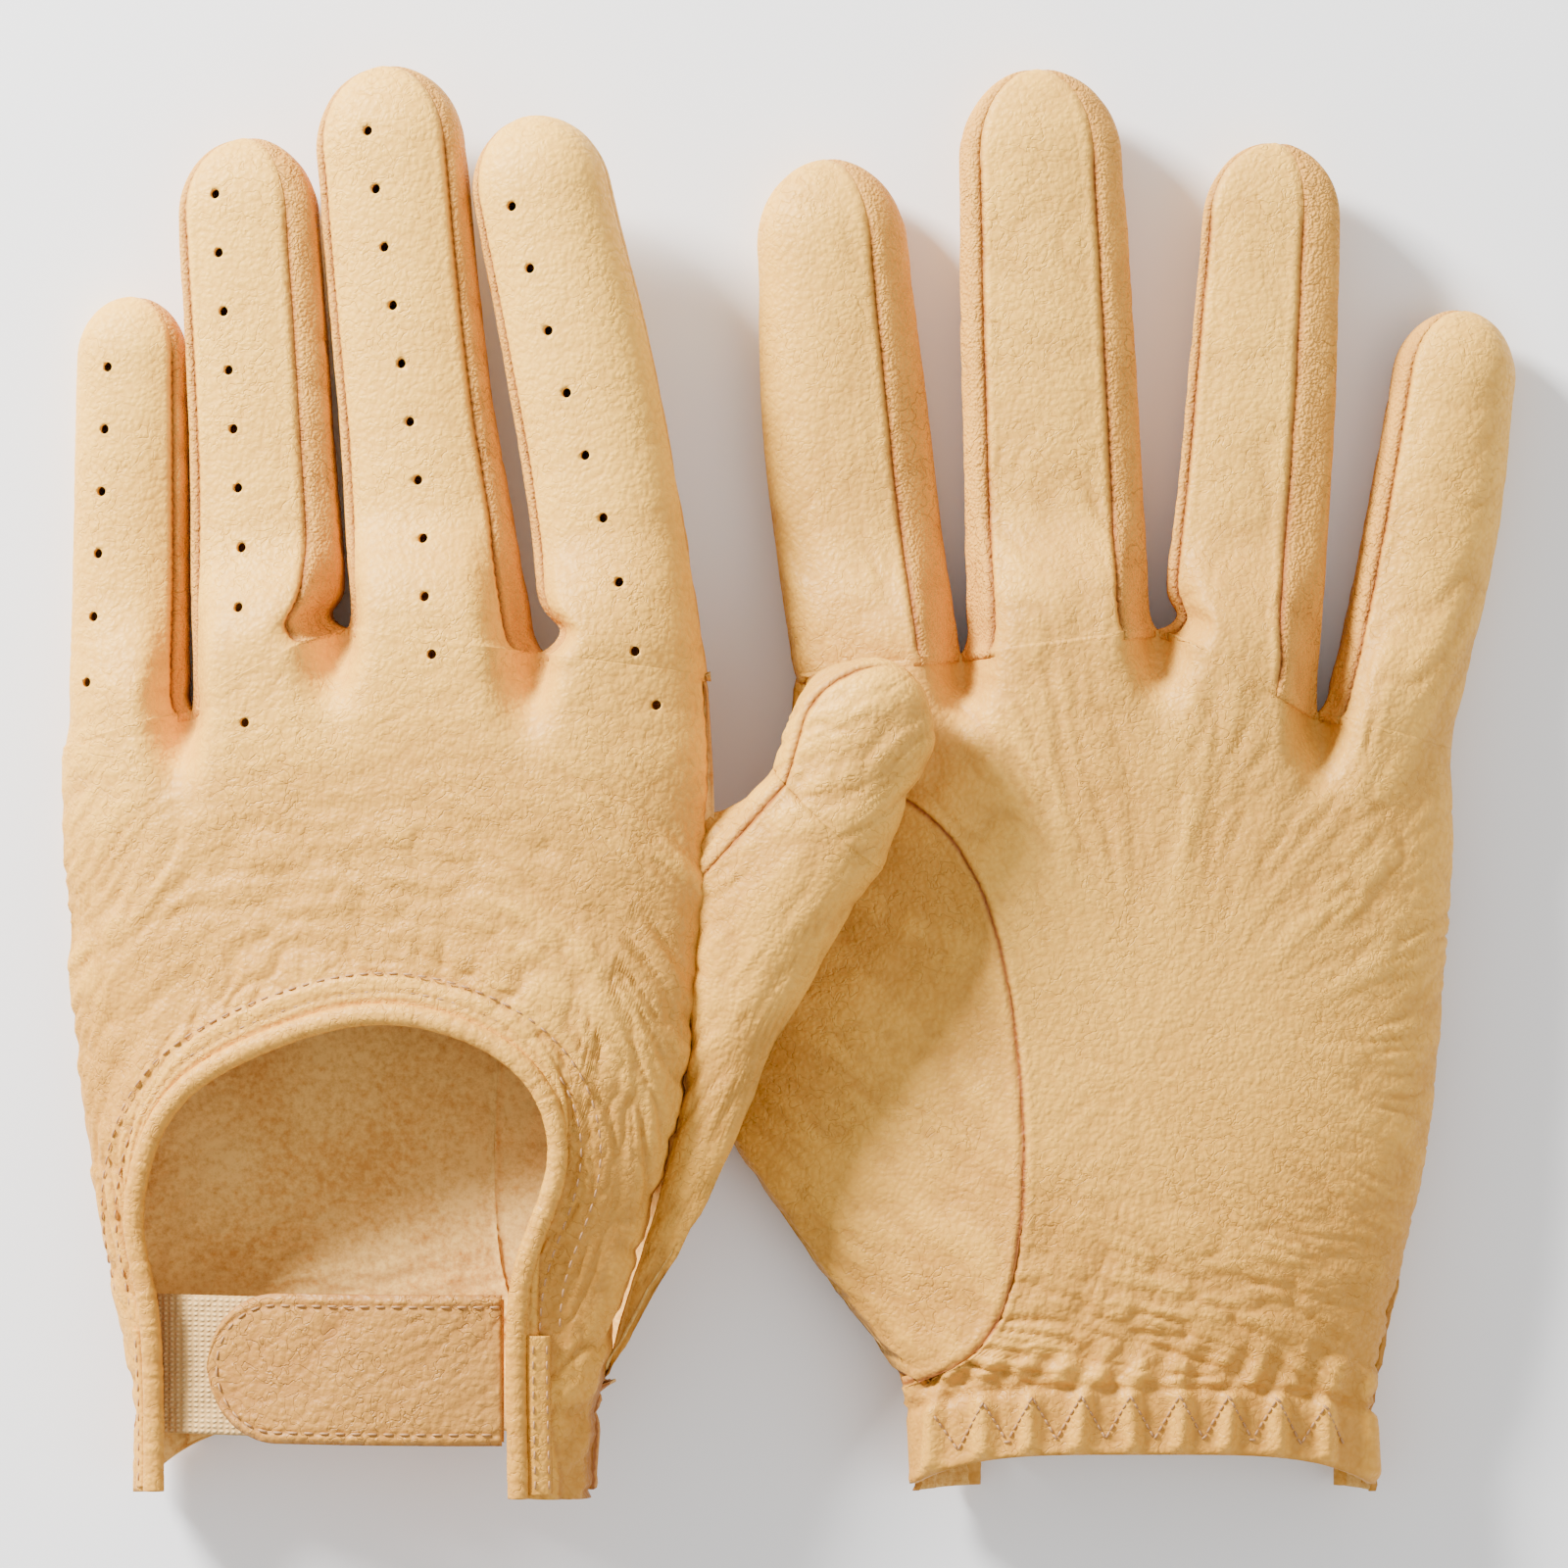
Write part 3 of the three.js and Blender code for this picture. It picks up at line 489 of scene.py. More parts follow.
def stall_section(glove, stall, t, turn):
    """A stall's closed section at distance t from its root, round from the thumb side over the back.

    Across, the section is a superellipse between its measured edges, closed by a round cap at the
    tip. In height it eases from the hand's own height on the knuckle line into that superellipse.
    """
    cosine, sine = np.cos(turn), np.sin(turn)
    b = np.sign(cosine) * np.abs(cosine) ** (2 / STALL_POWER)
    round_height = np.abs(sine) ** (2 / STALL_POWER)
    beyond = np.clip((t - (stall.length - stall.cap)) / stall.cap, 0, 1)
    taper = np.sqrt(1 - beyond ** 2)
    low, high = np.interp(t, stall.t, stall.low), np.interp(t, stall.t, stall.high)
    middle, half = (low + high) / 2, (high - low) / 2 * taper
    line_x = stall.ends[0][0] + (stall.ends[1][0] - stall.ends[0][0]) * (b + 1) / 2
    line_y = stall.ends[0][1] + (stall.ends[1][1] - stall.ends[0][1]) * (b + 1) / 2
    line_x = line_x + stall.forward[0] * np.minimum(t, 0)
    line_y = line_y + stall.forward[1] * np.minimum(t, 0)
    free = stall.root + stall.forward * t[..., None] + stall.sideways * (middle + half * b)[..., None]
    slant = ((line_x - stall.root[0]) * stall.forward[0]
             + (line_y - stall.root[1]) * stall.forward[1])
    free = free + stall.forward * (slant * np.clip(1 - t / (0.4 * stall.length), 0, 1) ** 2)[..., None]
    share = 1 - ease(t / ROOT_LENGTH)
    hug = 1 - ease(t / (3 * MM))
    x = free[..., 0] * (1 - hug) + line_x * hug
    y = free[..., 1] * (1 - hug) + line_y * hug
    is_top = sine >= 0
    own = np.where(is_top, np.interp(t, stall.t, stall.top) - stall.centre,
                   stall.centre - np.interp(t, stall.t, stall.bottom)) * taper * round_height
    base = np.where(is_top, hand_height(glove, line_x, line_y, True),
                    hand_height(glove, line_x, line_y, False)) * np.minimum(1, np.abs(sine) * 9)
    height = own * (1 - share) + base * share
    z = stall.centre * (1 - share) * taper ** 0.3 + height * np.sign(sine + 1e-12)
    return np.stack([x, y, z], -1)


def thumb_ring(glove, a, around):
    """The thumb's section at share a of its length: round from the top of its seam, palm side first."""
    thumb = glove.thumb
    past = np.clip((a - THUMB_JOIN) / (1 - THUMB_JOIN), 0, 1)
    s = thumb.s[0] + (thumb.end - thumb.s[0]) * past
    low, high = np.interp(s, thumb.s, thumb.low), np.interp(s, thumb.s, thumb.high)
    bottom, top = np.interp(s, thumb.s, thumb.bottom), np.interp(s, thumb.s, thumb.top)
    beyond = np.clip((s - (thumb.end - thumb.cap)) / thumb.cap, 0, 1)
    taper = np.sqrt(1 - beyond ** 2)
    base = thumb.base + thumb.direction * thumb.s[0] + thumb.across * (thumb.low + thumb.high)[0] / 2
    line = (thumb.base + thumb.direction * s[..., None]
            + thumb.across * ((low + high) / 2)[..., None])
    early = np.clip(a / THUMB_JOIN, 0, 1)[..., None]
    length = np.linalg.norm((base - thumb.heart)[:2])
    knee = base - thumb.direction * 0.55 * length
    root = thumb.heart * (1 - early) ** 2 + 2 * knee * early * (1 - early) + base * early ** 2
    centre = np.where(a[..., None] < THUMB_JOIN, root, line)
    turn = 2 * np.pi * around
    wide, tall = (high - low) / 2 * taper, (top - bottom) / 2 * taper
    lift = thumb.base[2] + (top + bottom) / 2
    point = centre - thumb.across * (np.cos(turn) * wide)[..., None]
    point[..., 2] = lift * np.minimum(1, early[..., 0] + 0.2) - np.sin(turn) * tall
    return point


def thumb_point(glove, a, around):
    """The thumb eases out of the loop of its seam in the palm and the hand's side seam."""
    around = around % 1.0
    middle = (glove.thumb_top + glove.thumb_foot) / 2
    half = (glove.thumb_top - glove.thumb_foot) / 2
    palm_y = middle + half * np.cos(2 * np.pi * around)
    palm_x = np.interp(palm_y, *glove.thumb_arc)
    palm_z = -hand_height(glove, palm_x, palm_y, False)
    side_y = glove.thumb_foot + 2 * half * (2 * around - 1)
    side_x = sides_at(glove, side_y)[1]
    is_palm = around <= 0.5
    loop = np.stack([np.where(is_palm, palm_x, side_x), np.where(is_palm, palm_y, side_y),
                     np.where(is_palm, palm_z, 0)], -1)
    eased = ease(a / THUMB_JOIN)[..., None]
    ring = thumb_ring(glove, a, around)
    bulge = 3.5 * MM * np.sin(np.pi * eased) * np.maximum(0, -np.cos(2 * np.pi * around))[..., None]
    return loop * (1 - eased) + ring * eased + glove.thumb.across * bulge


# ---------------------------------------------------------------- meshes


def normals_of(grid):
    """Unit normals of a grid of points, from the differences between neighbours."""
    down, over = np.gradient(grid, axis=0), np.gradient(grid, axis=1)
    normal = np.cross(down, over)
    size = np.linalg.norm(normal, axis=-1, keepdims=True)
    return normal / np.maximum(size, 1e-12)


def grid_faces(rows, columns, first, flip):
    """Quads between the neighbours of a grid whose points are numbered row by row from first."""
    index = first + np.arange(rows * columns).reshape(rows, columns)
    quads = np.stack([index[:-1, :-1], index[1:, :-1], index[1:, 1:], index[:-1, 1:]], -1)
    quads = quads.reshape(-1, 4)
    return quads[:, ::-1] if flip else quads


def mesh_piece(name, points, faces, materials, face_material=None, attributes=None):
    """A mesh object from arrays, shaded smooth."""
    mesh = bpy.data.meshes.new(name)
    mesh.from_pydata(points.tolist(), [], [face.tolist() for face in faces])
    for material in materials:
        mesh.materials.append(material)
    if face_material is not None:
        mesh.polygons.foreach_set("material_index", face_material)
    for key, values in (attributes or {}).items():
        layer = mesh.attributes.new(key, "FLOAT", "POINT")
        layer.data.foreach_set("value", np.asarray(values, np.float32).ravel())
    mesh.polygons.foreach_set("use_smooth", np.ones(len(mesh.polygons), bool))
    mesh.update()
    piece = bpy.data.objects.new(name, mesh)
    bpy.context.scene.collection.objects.link(piece)
    return piece


def turn_outwards(piece, merge=0.0):
    """Merges points nearer than merge, and turns the closed mesh's faces outwards."""
    shell = bmesh.new()
    shell.from_mesh(piece.data)
    if merge:
        bmesh.ops.remove_doubles(shell, verts=shell.verts, dist=merge)
    bmesh.ops.recalc_face_normals(shell, faces=shell.faces)
    if shell.calc_volume(signed=True) < 0:
        bmesh.ops.reverse_faces(shell, faces=shell.faces)
    shell.to_mesh(piece.data)
    shell.free()
    return piece


def panel(name, grid, thickness, materials, outward, tone=None, relief=None):
    """A closed sheet of leather: an outer grid, moved by its relief, and an inner grid behind it.

    outward is a point inside the object: the outer face is the one that looks away from it.
    """
    rows, columns = grid.shape[:2]
    normal = normals_of(grid)
    away = ((grid - outward) * normal).sum(-1).mean() > 0
    normal = normal if away else -normal
    outer = grid if relief is None else grid + normal * relief[..., None]
    inner = outer - normal * thickness
    outer[..., 2] = np.maximum(outer[..., 2], FLOOR)
    inner[..., 2] = np.maximum(inner[..., 2], FLOOR + thickness * np.clip(-normal[..., 2], 0, 1))
    count = rows * columns
    index = np.arange(count).reshape(rows, columns)
    rim = np.concatenate([index[:, 0], index[-1, 1:], index[-2::-1, -1], index[0, -2:0:-1]])
    after = np.roll(rim, -1)
    walls = np.stack([rim, after, after + count, rim + count], -1)
    faces = [grid_faces(rows, columns, 0, not away), grid_faces(rows, columns, count, away),
             walls[:, ::-1] if not away else walls]
    sheet = len(faces[0])
    slots = np.zeros(sum(map(len, faces)), np.int32)
    slots[sheet:2 * sheet] = len(materials) - 1
    tone = np.zeros((rows, columns)) if tone is None else tone
    piece = mesh_piece(name, np.concatenate([outer.reshape(-1, 3), inner.reshape(-1, 3)]),
                       np.concatenate(faces), materials, slots,
                       {"tone": np.concatenate([tone.ravel(), tone.ravel() * 0.4])})
    return turn_outwards(piece, merge=2e-6)


def tube(name, path, side, up, half_width, half_height, material, tone=None, sides=18):
    """A closed elliptical tube along a path, with its ends filled."""
    turn = np.linspace(0, 2 * np.pi, sides, endpoint=False)
    ring = (side[:, None] * (np.cos(turn) * half_width[:, None])[..., None]
            + up[:, None] * (np.sin(turn) * half_height[:, None])[..., None])
    points = path[:, None] + ring
    rows = len(path)
    index = np.arange(rows * sides).reshape(rows, sides)
    around = np.roll(index, -1, axis=1)
    quads = np.stack([index[:-1], index[1:], around[1:], around[:-1]], -1).reshape(-1, 4)
    faces = list(quads) + [index[0], index[-1][::-1]]
    shade = np.zeros(rows) if tone is None else tone
    piece = mesh_piece(name, points.reshape(-1, 3), faces, [material],
                       attributes={"tone": np.repeat(shade, sides)})
    return turn_outwards(piece)


def stitches(name, lines, spacing, length, radius, material):
    """Short rounded threads along lines of points with normals: a stitch every spacing.

    Each is a six-sided spindle, thick in the middle and dipping into the leather at its ends.
    """
    turn = np.linspace(0, 2 * np.pi, 6, endpoint=False)
    share = np.array([-1, -0.7, 0, 0.7, 1])
    thick = np.array([0.45, 0.95, 1, 0.95, 0.45]) * radius
    drop = np.array([-1.3, 0.1, 0.45, 0.1, -1.3]) * radius
    points, faces, first = [], [], 0
    for line, normal in lines:
        steps = np.linalg.norm(np.diff(line, axis=0), axis=1)
        along = np.concatenate([[0], np.cumsum(steps)])
        at = np.arange(spacing / 2, along[-1], spacing)
        where = lambda d, values: np.stack([np.interp(d, along, values[:, k]) for k in range(3)], -1)
        middle, up = where(at, line), where(at, normal)
        ahead = where(at + length / 2, line) - where(at - length / 2, line)
        ahead /= np.maximum(np.linalg.norm(ahead, axis=1, keepdims=True), 1e-9)
        up /= np.linalg.norm(up, axis=1, keepdims=True)
        side = np.cross(ahead, up)
        spine = (middle[:, None] + ahead[:, None] * (share * length / 2)[:, None]
                 + up[:, None] * drop[:, None])
        ring = (side[:, None, None] * (np.cos(turn) * thick[:, None])[..., None]
                + up[:, None, None] * (np.sin(turn) * thick[:, None])[..., None])
        cloud = (spine[:, :, None] + ring).reshape(-1, 3)
        index = first + np.arange(len(cloud)).reshape(len(at), 5, 6)
        around = np.roll(index, -1, axis=2)
        quads = np.stack([index[:, :-1], index[:, 1:], around[:, 1:], around[:, :-1]], -1)
        faces += list(quads.reshape(-1, 4)) + list(index[:, 0]) + list(index[:, -1, ::-1])
        points.append(cloud)
        first += len(cloud)
    piece = mesh_piece(name, np.concatenate(points), faces, [material])
    return turn_outwards(piece)


# ---------------------------------------------------------------- materials


def new_material(name):
    """An empty material: its nodes, links and Principled shader."""
    material = bpy.data.materials.new(name)
    material.use_nodes = True
    nodes, links = material.node_tree.nodes, material.node_tree.links
    return material, nodes, links, nodes["Principled BSDF"]


def add_node(nodes, kind, **values):
    """A node with attributes and socket values set by name."""
    node = nodes.new(kind)
    for key, value in values.items():
        if key in node.inputs:
            node.inputs[key].default_value = value
        else:
            setattr(node, key, value)
    return node


def number(nodes, operation, socket, value, use_clamp=False):
    """A Math node with one of its sockets set."""
    node = add_node(nodes, "ShaderNodeMath", operation=operation, use_clamp=use_clamp)
    node.inputs[socket].default_value = value
    return node


def map_range(nodes, start, end=(0.0, 1.0)):
    """A node that maps the range start to the range end, clamped."""
    node = nodes.new("ShaderNodeMapRange")
    for socket, value in zip(("From Min", "From Max", "To Min", "To Max"), (*start, *end)):
        node.inputs[socket].default_value = value
    return node


def wire(links, *joins):
    """Links each (node, its output, node, its input)."""
    for source, output, target, socket in joins:
        links.new(source.outputs[output], target.inputs[socket])


def grain_group():
    """Deerskin grain: pebbles with soft valleys, broken up by pores, under a net of fine folds."""
    group = bpy.data.node_groups.new("Deerskin grain", "ShaderNodeTree")
    for socket, way in (("Pebbles per metre", "INPUT"), ("Height", "OUTPUT"), ("Valley", "OUTPUT"),
                        ("Fold", "OUTPUT")):
        group.interface.new_socket(socket, in_out=way, socket_type="NodeSocketFloat")
    nodes, links = group.nodes, group.links
    start, end = nodes.new("NodeGroupInput"), nodes.new("NodeGroupOutput")
    place = add_node(nodes, "ShaderNodeTexCoord")
    warp = add_node(nodes, "ShaderNodeTexNoise", Scale=380.0, Detail=2.0)
    shift = add_node(nodes, "ShaderNodeVectorMath", operation="SCALE")
    shift.inputs["Scale"].default_value = 0.0016
    moved = add_node(nodes, "ShaderNodeVectorMath", operation="ADD")
    cells = add_node(nodes, "ShaderNodeTexVoronoi", feature="SMOOTH_F1", Smoothness=0.45, Randomness=1.0)
    fine = add_node(nodes, "ShaderNodeTexNoise", Scale=2600.0, Detail=3.0)
    mix = number(nodes, "MULTIPLY_ADD", 1, 0.35)
    valley = map_range(nodes, (0.35, 0.8))
    flip = number(nodes, "SUBTRACT", 0, 1.0)
    wire(links, (place, "Object", warp, "Vector"), (warp, "Color", shift, 0),
         (place, "Object", moved, 0), (shift, "Vector", moved, 1),
         (moved, "Vector", cells, "Vector"), (start, "Pebbles per metre", cells, "Scale"),
         (place, "Object", fine, "Vector"), (cells, "Distance", flip, 1), (fine, "Fac", mix, 0),
         (flip, "Value", mix, 2))
    # Fine folds: lines where a noise crosses its middle, in patches.
    lines = add_node(nodes, "ShaderNodeTexNoise", Scale=420.0, Detail=2.0, Roughness=0.5, Distortion=0.3)
    centred = number(nodes, "SUBTRACT", 1, 0.5)
    size = add_node(nodes, "ShaderNodeMath", operation="ABSOLUTE")
    fold = map_range(nodes, (0.0, 0.028), (1.0, 0.0))
    patches = add_node(nodes, "ShaderNodeTexNoise", Scale=75.0, Detail=2.0)
    some = map_range(nodes, (0.38, 0.62))
    both = add_node(nodes, "ShaderNodeMath", operation="MULTIPLY")
    sunk = number(nodes, "MULTIPLY_ADD", 1, -0.65)
    wire(links, (place, "Object", lines, "Vector"), (place, "Object", patches, "Vector"),
         (lines, "Fac", centred, 0), (centred, "Value", size, 0), (size, "Value", fold, "Value"),
         (patches, "Fac", some, "Value"), (fold, "Result", both, 0), (some, "Result", both, 1),
         (both, "Value", sunk, 0), (mix, "Value", sunk, 2), (sunk, "Value", end, "Height"),
         (both, "Value", end, "Fold"), (cells, "Distance", valley, "Value"),
         (valley, "Result", end, "Valley"))
    return group


GRAIN = grain_group()


def leather(name, light, deep, seam_and_shade_tint, pebbles, bump, roughness, fade=(0.0, 0.0)):
    """Grained leather: two tans over large patches, with painted shade in the grain's valleys, its fine folds and the
    creases that the tone attribute marks, and seams darker.

    fade gives the heights along Object Y between which the colour goes from deep to light: a painted light gradient,
    lighter towards the top.
    """
    material, nodes, links, shader = new_material(name)
    place = add_node(nodes, "ShaderNodeTexCoord")
    grain = nodes.new("ShaderNodeGroup")
    grain.node_tree = GRAIN
    grain.inputs["Pebbles per metre"].default_value = pebbles
    patches = add_node(nodes, "ShaderNodeTexNoise", Scale=28.0, Detail=4.0, Roughness=0.6)
    tone = add_node(nodes, "ShaderNodeAttribute", attribute_name="tone")
    split = add_node(nodes, "ShaderNodeSeparateXYZ")
    fall = map_range(nodes, fade)
    share = number(nodes, "MULTIPLY_ADD", 1, 0.55, use_clamp=True)
    tans = add_node(nodes, "ShaderNodeMix", data_type="RGBA")
    tans.inputs[6].default_value, tans.inputs[7].default_value = (*deep, 1), (*light, 1)
    # Painted shade: the grain's valleys are multiplied darker.
    painted_valley_shade = add_node(nodes, "ShaderNodeMix", data_type="RGBA", blend_type="MULTIPLY")
    painted_valley_shade.inputs[7].default_value = (0.80, 0.68, 0.52, 1)
    weak = number(nodes, "MULTIPLY", 1, 0.42)
    seams = add_node(nodes, "ShaderNodeMix", data_type="RGBA")
    seams.inputs[7].default_value = (*seam_and_shade_tint, 1)
    height = add_node(nodes, "ShaderNodeBump", Strength=bump, Distance=0.0003)
    shine = map_range(nodes, (0.0, 1.0), (roughness - 0.06, roughness + 0.14))
    wire(links, (place, "Object", patches, "Vector"), (place, "Object", split, 0),
         (split, "Y", fall, "Value"), (patches, "Fac", share, 0))
    # Painted light: on top of their random patches, the tans go lighter towards the top along Object Y.
    painted_light_gradient = number(nodes, "MULTIPLY", 1, 0.62)
    wire(links, (fall, "Result", painted_light_gradient, 0), (painted_light_gradient, "Value", share, 2), (share, "Value", tans, 0),
         (tans, 2, painted_valley_shade, 6), (grain, "Valley", weak, 0), (weak, "Value", painted_valley_shade, 0),
         (painted_valley_shade, 2, seams, 6))
    # Painted shade: the fine folds, and the creases in the tone attribute, go towards the dark tint. The tone
    # attribute's seams go darker with the same tint.
    painted_shade_and_seam_share = number(nodes, "MULTIPLY_ADD", 1, 0.10, use_clamp=True)
    wire(links, (grain, "Fold", painted_shade_and_seam_share, 0), (tone, "Fac", painted_shade_and_seam_share, 2), (painted_shade_and_seam_share, "Value", seams, 0),
         (seams, 2, shader, "Base Color"), (grain, "Height", height, "Height"),
         (height, "Normal", shader, "Normal"), (grain, "Valley", shine, "Value"),
         (shine, "Result", shader, "Roughness"))
    shader.inputs["Specular IOR Level"].default_value = 0.3
    return material


def suede():
    """The flesh side: a short nap, flecked from tan to orange brown."""
    material, nodes, links, shader = new_material("suede")
    place = add_node(nodes, "ShaderNodeTexCoord")
    fleck = add_node(nodes, "ShaderNodeTexNoise", Scale=900.0, Detail=5.0, Roughness=0.75)
    cloud = add_node(nodes, "ShaderNodeTexNoise", Scale=60.0, Detail=3.0)
    both = number(nodes, "MULTIPLY_ADD", 1, 0.5)
    ramp = add_node(nodes, "ShaderNodeValToRGB")
    low, high = ramp.color_ramp.elements
    low.position, low.color = 0.55, (0.58, 0.26, 0.05, 1)
    high.position, high.color = 0.86, (0.86, 0.53, 0.15, 1)
    nap = add_node(nodes, "ShaderNodeBump", Strength=0.6, Distance=0.0002)
    for texture in (fleck, cloud):
        wire(links, (place, "Object", texture, "Vector"))
    wire(links, (cloud, "Fac", both, 0), (fleck, "Fac", both, 2), (both, "Value", ramp, "Fac"),
         (ramp, "Color", shader, "Base Color"), (fleck, "Fac", nap, "Height"),
         (nap, "Normal", shader, "Normal"))
    shader.inputs["Roughness"].default_value = 0.95
    shader.inputs["Specular IOR Level"].default_value = 0.1
    shader.inputs["Sheen Weight"].default_value = 0.1
    return material


def woven(name, colour, shadow, across, along, strength):
    """Narrow fabric: two crossed waves on Object coordinates, with a little unevenness."""
    material, nodes, links, shader = new_material(name)
    place = add_node(nodes, "ShaderNodeTexCoord")
    columns = add_node(nodes, "ShaderNodeTexWave", bands_direction="X", Scale=across, Distortion=1.2)
    rows = add_node(nodes, "ShaderNodeTexWave", bands_direction="Y", Scale=along, Distortion=1.5)
    for wave in (columns, rows):
        wave.inputs["Detail Scale"].default_value = 4.0
        wire(links, (place, "Object", wave, "Vector"))
    weave = add_node(nodes, "ShaderNodeMath", operation="MULTIPLY")
    wire(links, (columns, "Fac", weave, 0), (rows, "Fac", weave, 1))
    tint = add_node(nodes, "ShaderNodeMix", data_type="RGBA")
    tint.inputs[6].default_value, tint.inputs[7].default_value = (*shadow, 1), (*colour, 1)
    relief = add_node(nodes, "ShaderNodeBump", Strength=strength, Distance=0.0003)
    wire(links, (weave, "Value", tint, 0), (tint, 2, shader, "Base Color"),
         (weave, "Value", relief, "Height"), (relief, "Normal", shader, "Normal"))
    shader.inputs["Roughness"].default_value = 0.8
    shader.inputs["Specular IOR Level"].default_value = 0.25
    return material


def thread_material():
    """Waxed thread: twisted light and dark along its length."""
    material, nodes, links, shader = new_material("thread")
    place = add_node(nodes, "ShaderNodeTexCoord")
    twist = add_node(nodes, "ShaderNodeTexNoise", Scale=4000.0, Detail=1.0)
    tint = add_node(nodes, "ShaderNodeMix", data_type="RGBA")
    tint.inputs[6].default_value = (0.30, 0.14, 0.045, 1)
    tint.inputs[7].default_value = (0.52, 0.28, 0.11, 1)
    wire(links, (place, "Object", twist, "Vector"), (twist, "Fac", tint, 0),
         (tint, 2, shader, "Base Color"))
    shader.inputs["Roughness"].default_value = 0.6
    return material


# The leathers' two tans mix over random patches and, through fade, a painted light gradient that is lighter towards
# the top. The dark tint colours the seams and is also the painted shade in creases and folds.
TAN_LIGHT, TAN_DEEP, SEAM_AND_SHADE_TINT = (0.93, 0.52, 0.08), (0.62, 0.27, 0.025), (0.27, 0.075, 0.008)
SKIN = leather("deerskin", TAN_LIGHT, TAN_DEEP, SEAM_AND_SHADE_TINT, 1150.0, 0.55, 0.55,
               fade=(-90 * MM, 70 * MM))
GUSSET = leather("gusset leather", (0.80, 0.40, 0.065), (0.56, 0.23, 0.025), SEAM_AND_SHADE_TINT, 1900.0, 0.9, 0.7,
                 fade=(-90 * MM, 90 * MM))
TAB_SKIN = leather("tab leather", (0.58, 0.29, 0.055), (0.45, 0.20, 0.03), SEAM_AND_SHADE_TINT, 900.0, 0.8, 0.5)
SUEDE = suede()
TAPE = woven("loop tape", (0.82, 0.56, 0.25), (0.56, 0.33, 0.11), 330.0, 420.0, 0.8)
HOOK = woven("hook tape", (0.55, 0.38, 0.20), (0.30, 0.18, 0.08), 420.0, 420.0, 1.0)
ELASTIC = woven("elastic", (0.86, 0.80, 0.70), (0.62, 0.54, 0.44), 600.0, 300.0, 0.6)
THREAD = thread_material()


# ---------------------------------------------------------------- relief of the leather


def back_relief(glove, x, y):
    """Folds of the back: arcs round the cut-out near it, and short cross folds over the knuckles."""
    top = glove.cut_out[:, 1].max()
    heart = np.array([glove.cut_out[:, 0].mean(), top - 22 * MM])
    radius = np.hypot(x - heart[0], y - heart[1])
    turn = np.arctan2(y - heart[1], x - heart[0])
    arcs = wrinkles(turn * 42 * MM, radius)
    short = wrinkles(x * 1.3 + 0.25 * y, y - 0.15 * x)
    near = 1 - ease((y - top - 20 * MM) / (26 * MM))
    fade = 1 - 0.62 * ease((y - top - 25 * MM) / (30 * MM))
    low = ease((radius - 20 * MM) / (12 * MM))
    reach = 0.35 + 0.65 * low
    folds = (arcs * near + 0.5 * short * (1 - near)) * fade * reach
    far = ease((y - glove.knuckles[:, 1].mean()) / (55 * MM))
    return BACK_FOLDS * folds * (1 - 0.6 * far)


def palm_relief(glove, x, y):
    """Folds of the palm: rays towards the crotches, cross folds at the heel, and a smooth middle."""
    top = glove.knuckles[:, 1].mean()
    heart = np.array([glove.knuckles[:, 0].mean(), glove.cuff + 0.52 * (top - glove.cuff)])
    radius = np.hypot(x - heart[0], y - heart[1])
    turn = np.arctan2(y - heart[1], x - heart[0])
    rays = wrinkles(radius * 0.8, turn * 38 * MM)
    cross = wrinkles(x + 0.35 * y, y - 0.3 * x + 3)
    heel = 1 - ease((y - glove.cuff - 14 * MM) / (45 * MM))
    toward = ease((radius - 18 * MM) / (26 * MM))
    far = ease((y - top) / (50 * MM))
    folds = rays * toward * (1 - heel) * 0.55 + cross * heel * 1.25 + 0.12 * rays
    return PALM_FOLDS * folds * (1 - 0.6 * far)


ZIGZAG = 7.2 * MM           # the wrist's stitch goes up and down once in this distance


def cuff_gathers(glove, x, y):
    """The palm's wrist band: puckers drawn up by the elastic, and a tight line above them."""
    up = y - glove.palm_cuff
    band = ease(up / (2 * MM)) * (1 - ease((up - CUFF_BAND + 1 * MM) / (2 * MM)))
    wander = 1.3 * MM * (noise(x / (6 * MM), up / (9 * MM)) - 0.5)
    puckers = np.cos(2 * np.pi * (x + wander) / ZIGZAG) * 0.85 + np.cos(
        4 * np.pi * (x + wander) / ZIGZAG) * 0.3
    above = np.exp(-((up - CUFF_BAND - 3 * MM) / (4 * MM)) ** 2)
    line = np.exp(-((up - CUFF_BAND) / (0.7 * MM)) ** 2)
    lip = 1 - ease(up / (1.2 * MM))
    run = np.cos(2 * np.pi * (x + wander + 0.4 * up) / (0.8 * ZIGZAG)) * above * 0.5
    return MM * (puckers * band * 0.8 + run - 0.7 * line - 0.4 * lip)


def edge_distance(grid, along=1):
    """Distance of each point from the grid's two edges across it, measured on the surface."""
    steps = np.linalg.norm(np.diff(grid, axis=along), axis=-1)
    start = np.zeros_like(np.take(steps, [0], along))
    before = np.concatenate([start, np.cumsum(steps, along)], along)
    after = np.take(before, [-1], along) - before
    return before, after


def seam_groove(distance, along):
    """A sewn seam: the leather turns in towards it, puckered a little at each stitch."""
    pucker = 0.75 + 0.25 * np.cos(2 * np.pi * along / (1.7 * MM))
    return (-SEAM_DEPTH * np.exp(-(distance / SEAM) ** 2) * pucker
            + 0.12 * MM * np.exp(-((distance - 1.3 * MM) / (0.7 * MM)) ** 2))


def crease_shade_and_seam_tone(relief, seam=0.0):
    """How far a point's colour goes to the dark seam tint: painted shade in creases, a little, and seams, a lot."""
    return np.clip(0.30 * np.clip(-relief / (0.35 * MM), 0, 1) + 0.85 * seam, 0, 1)


# ---------------------------------------------------------------- pieces of one glove


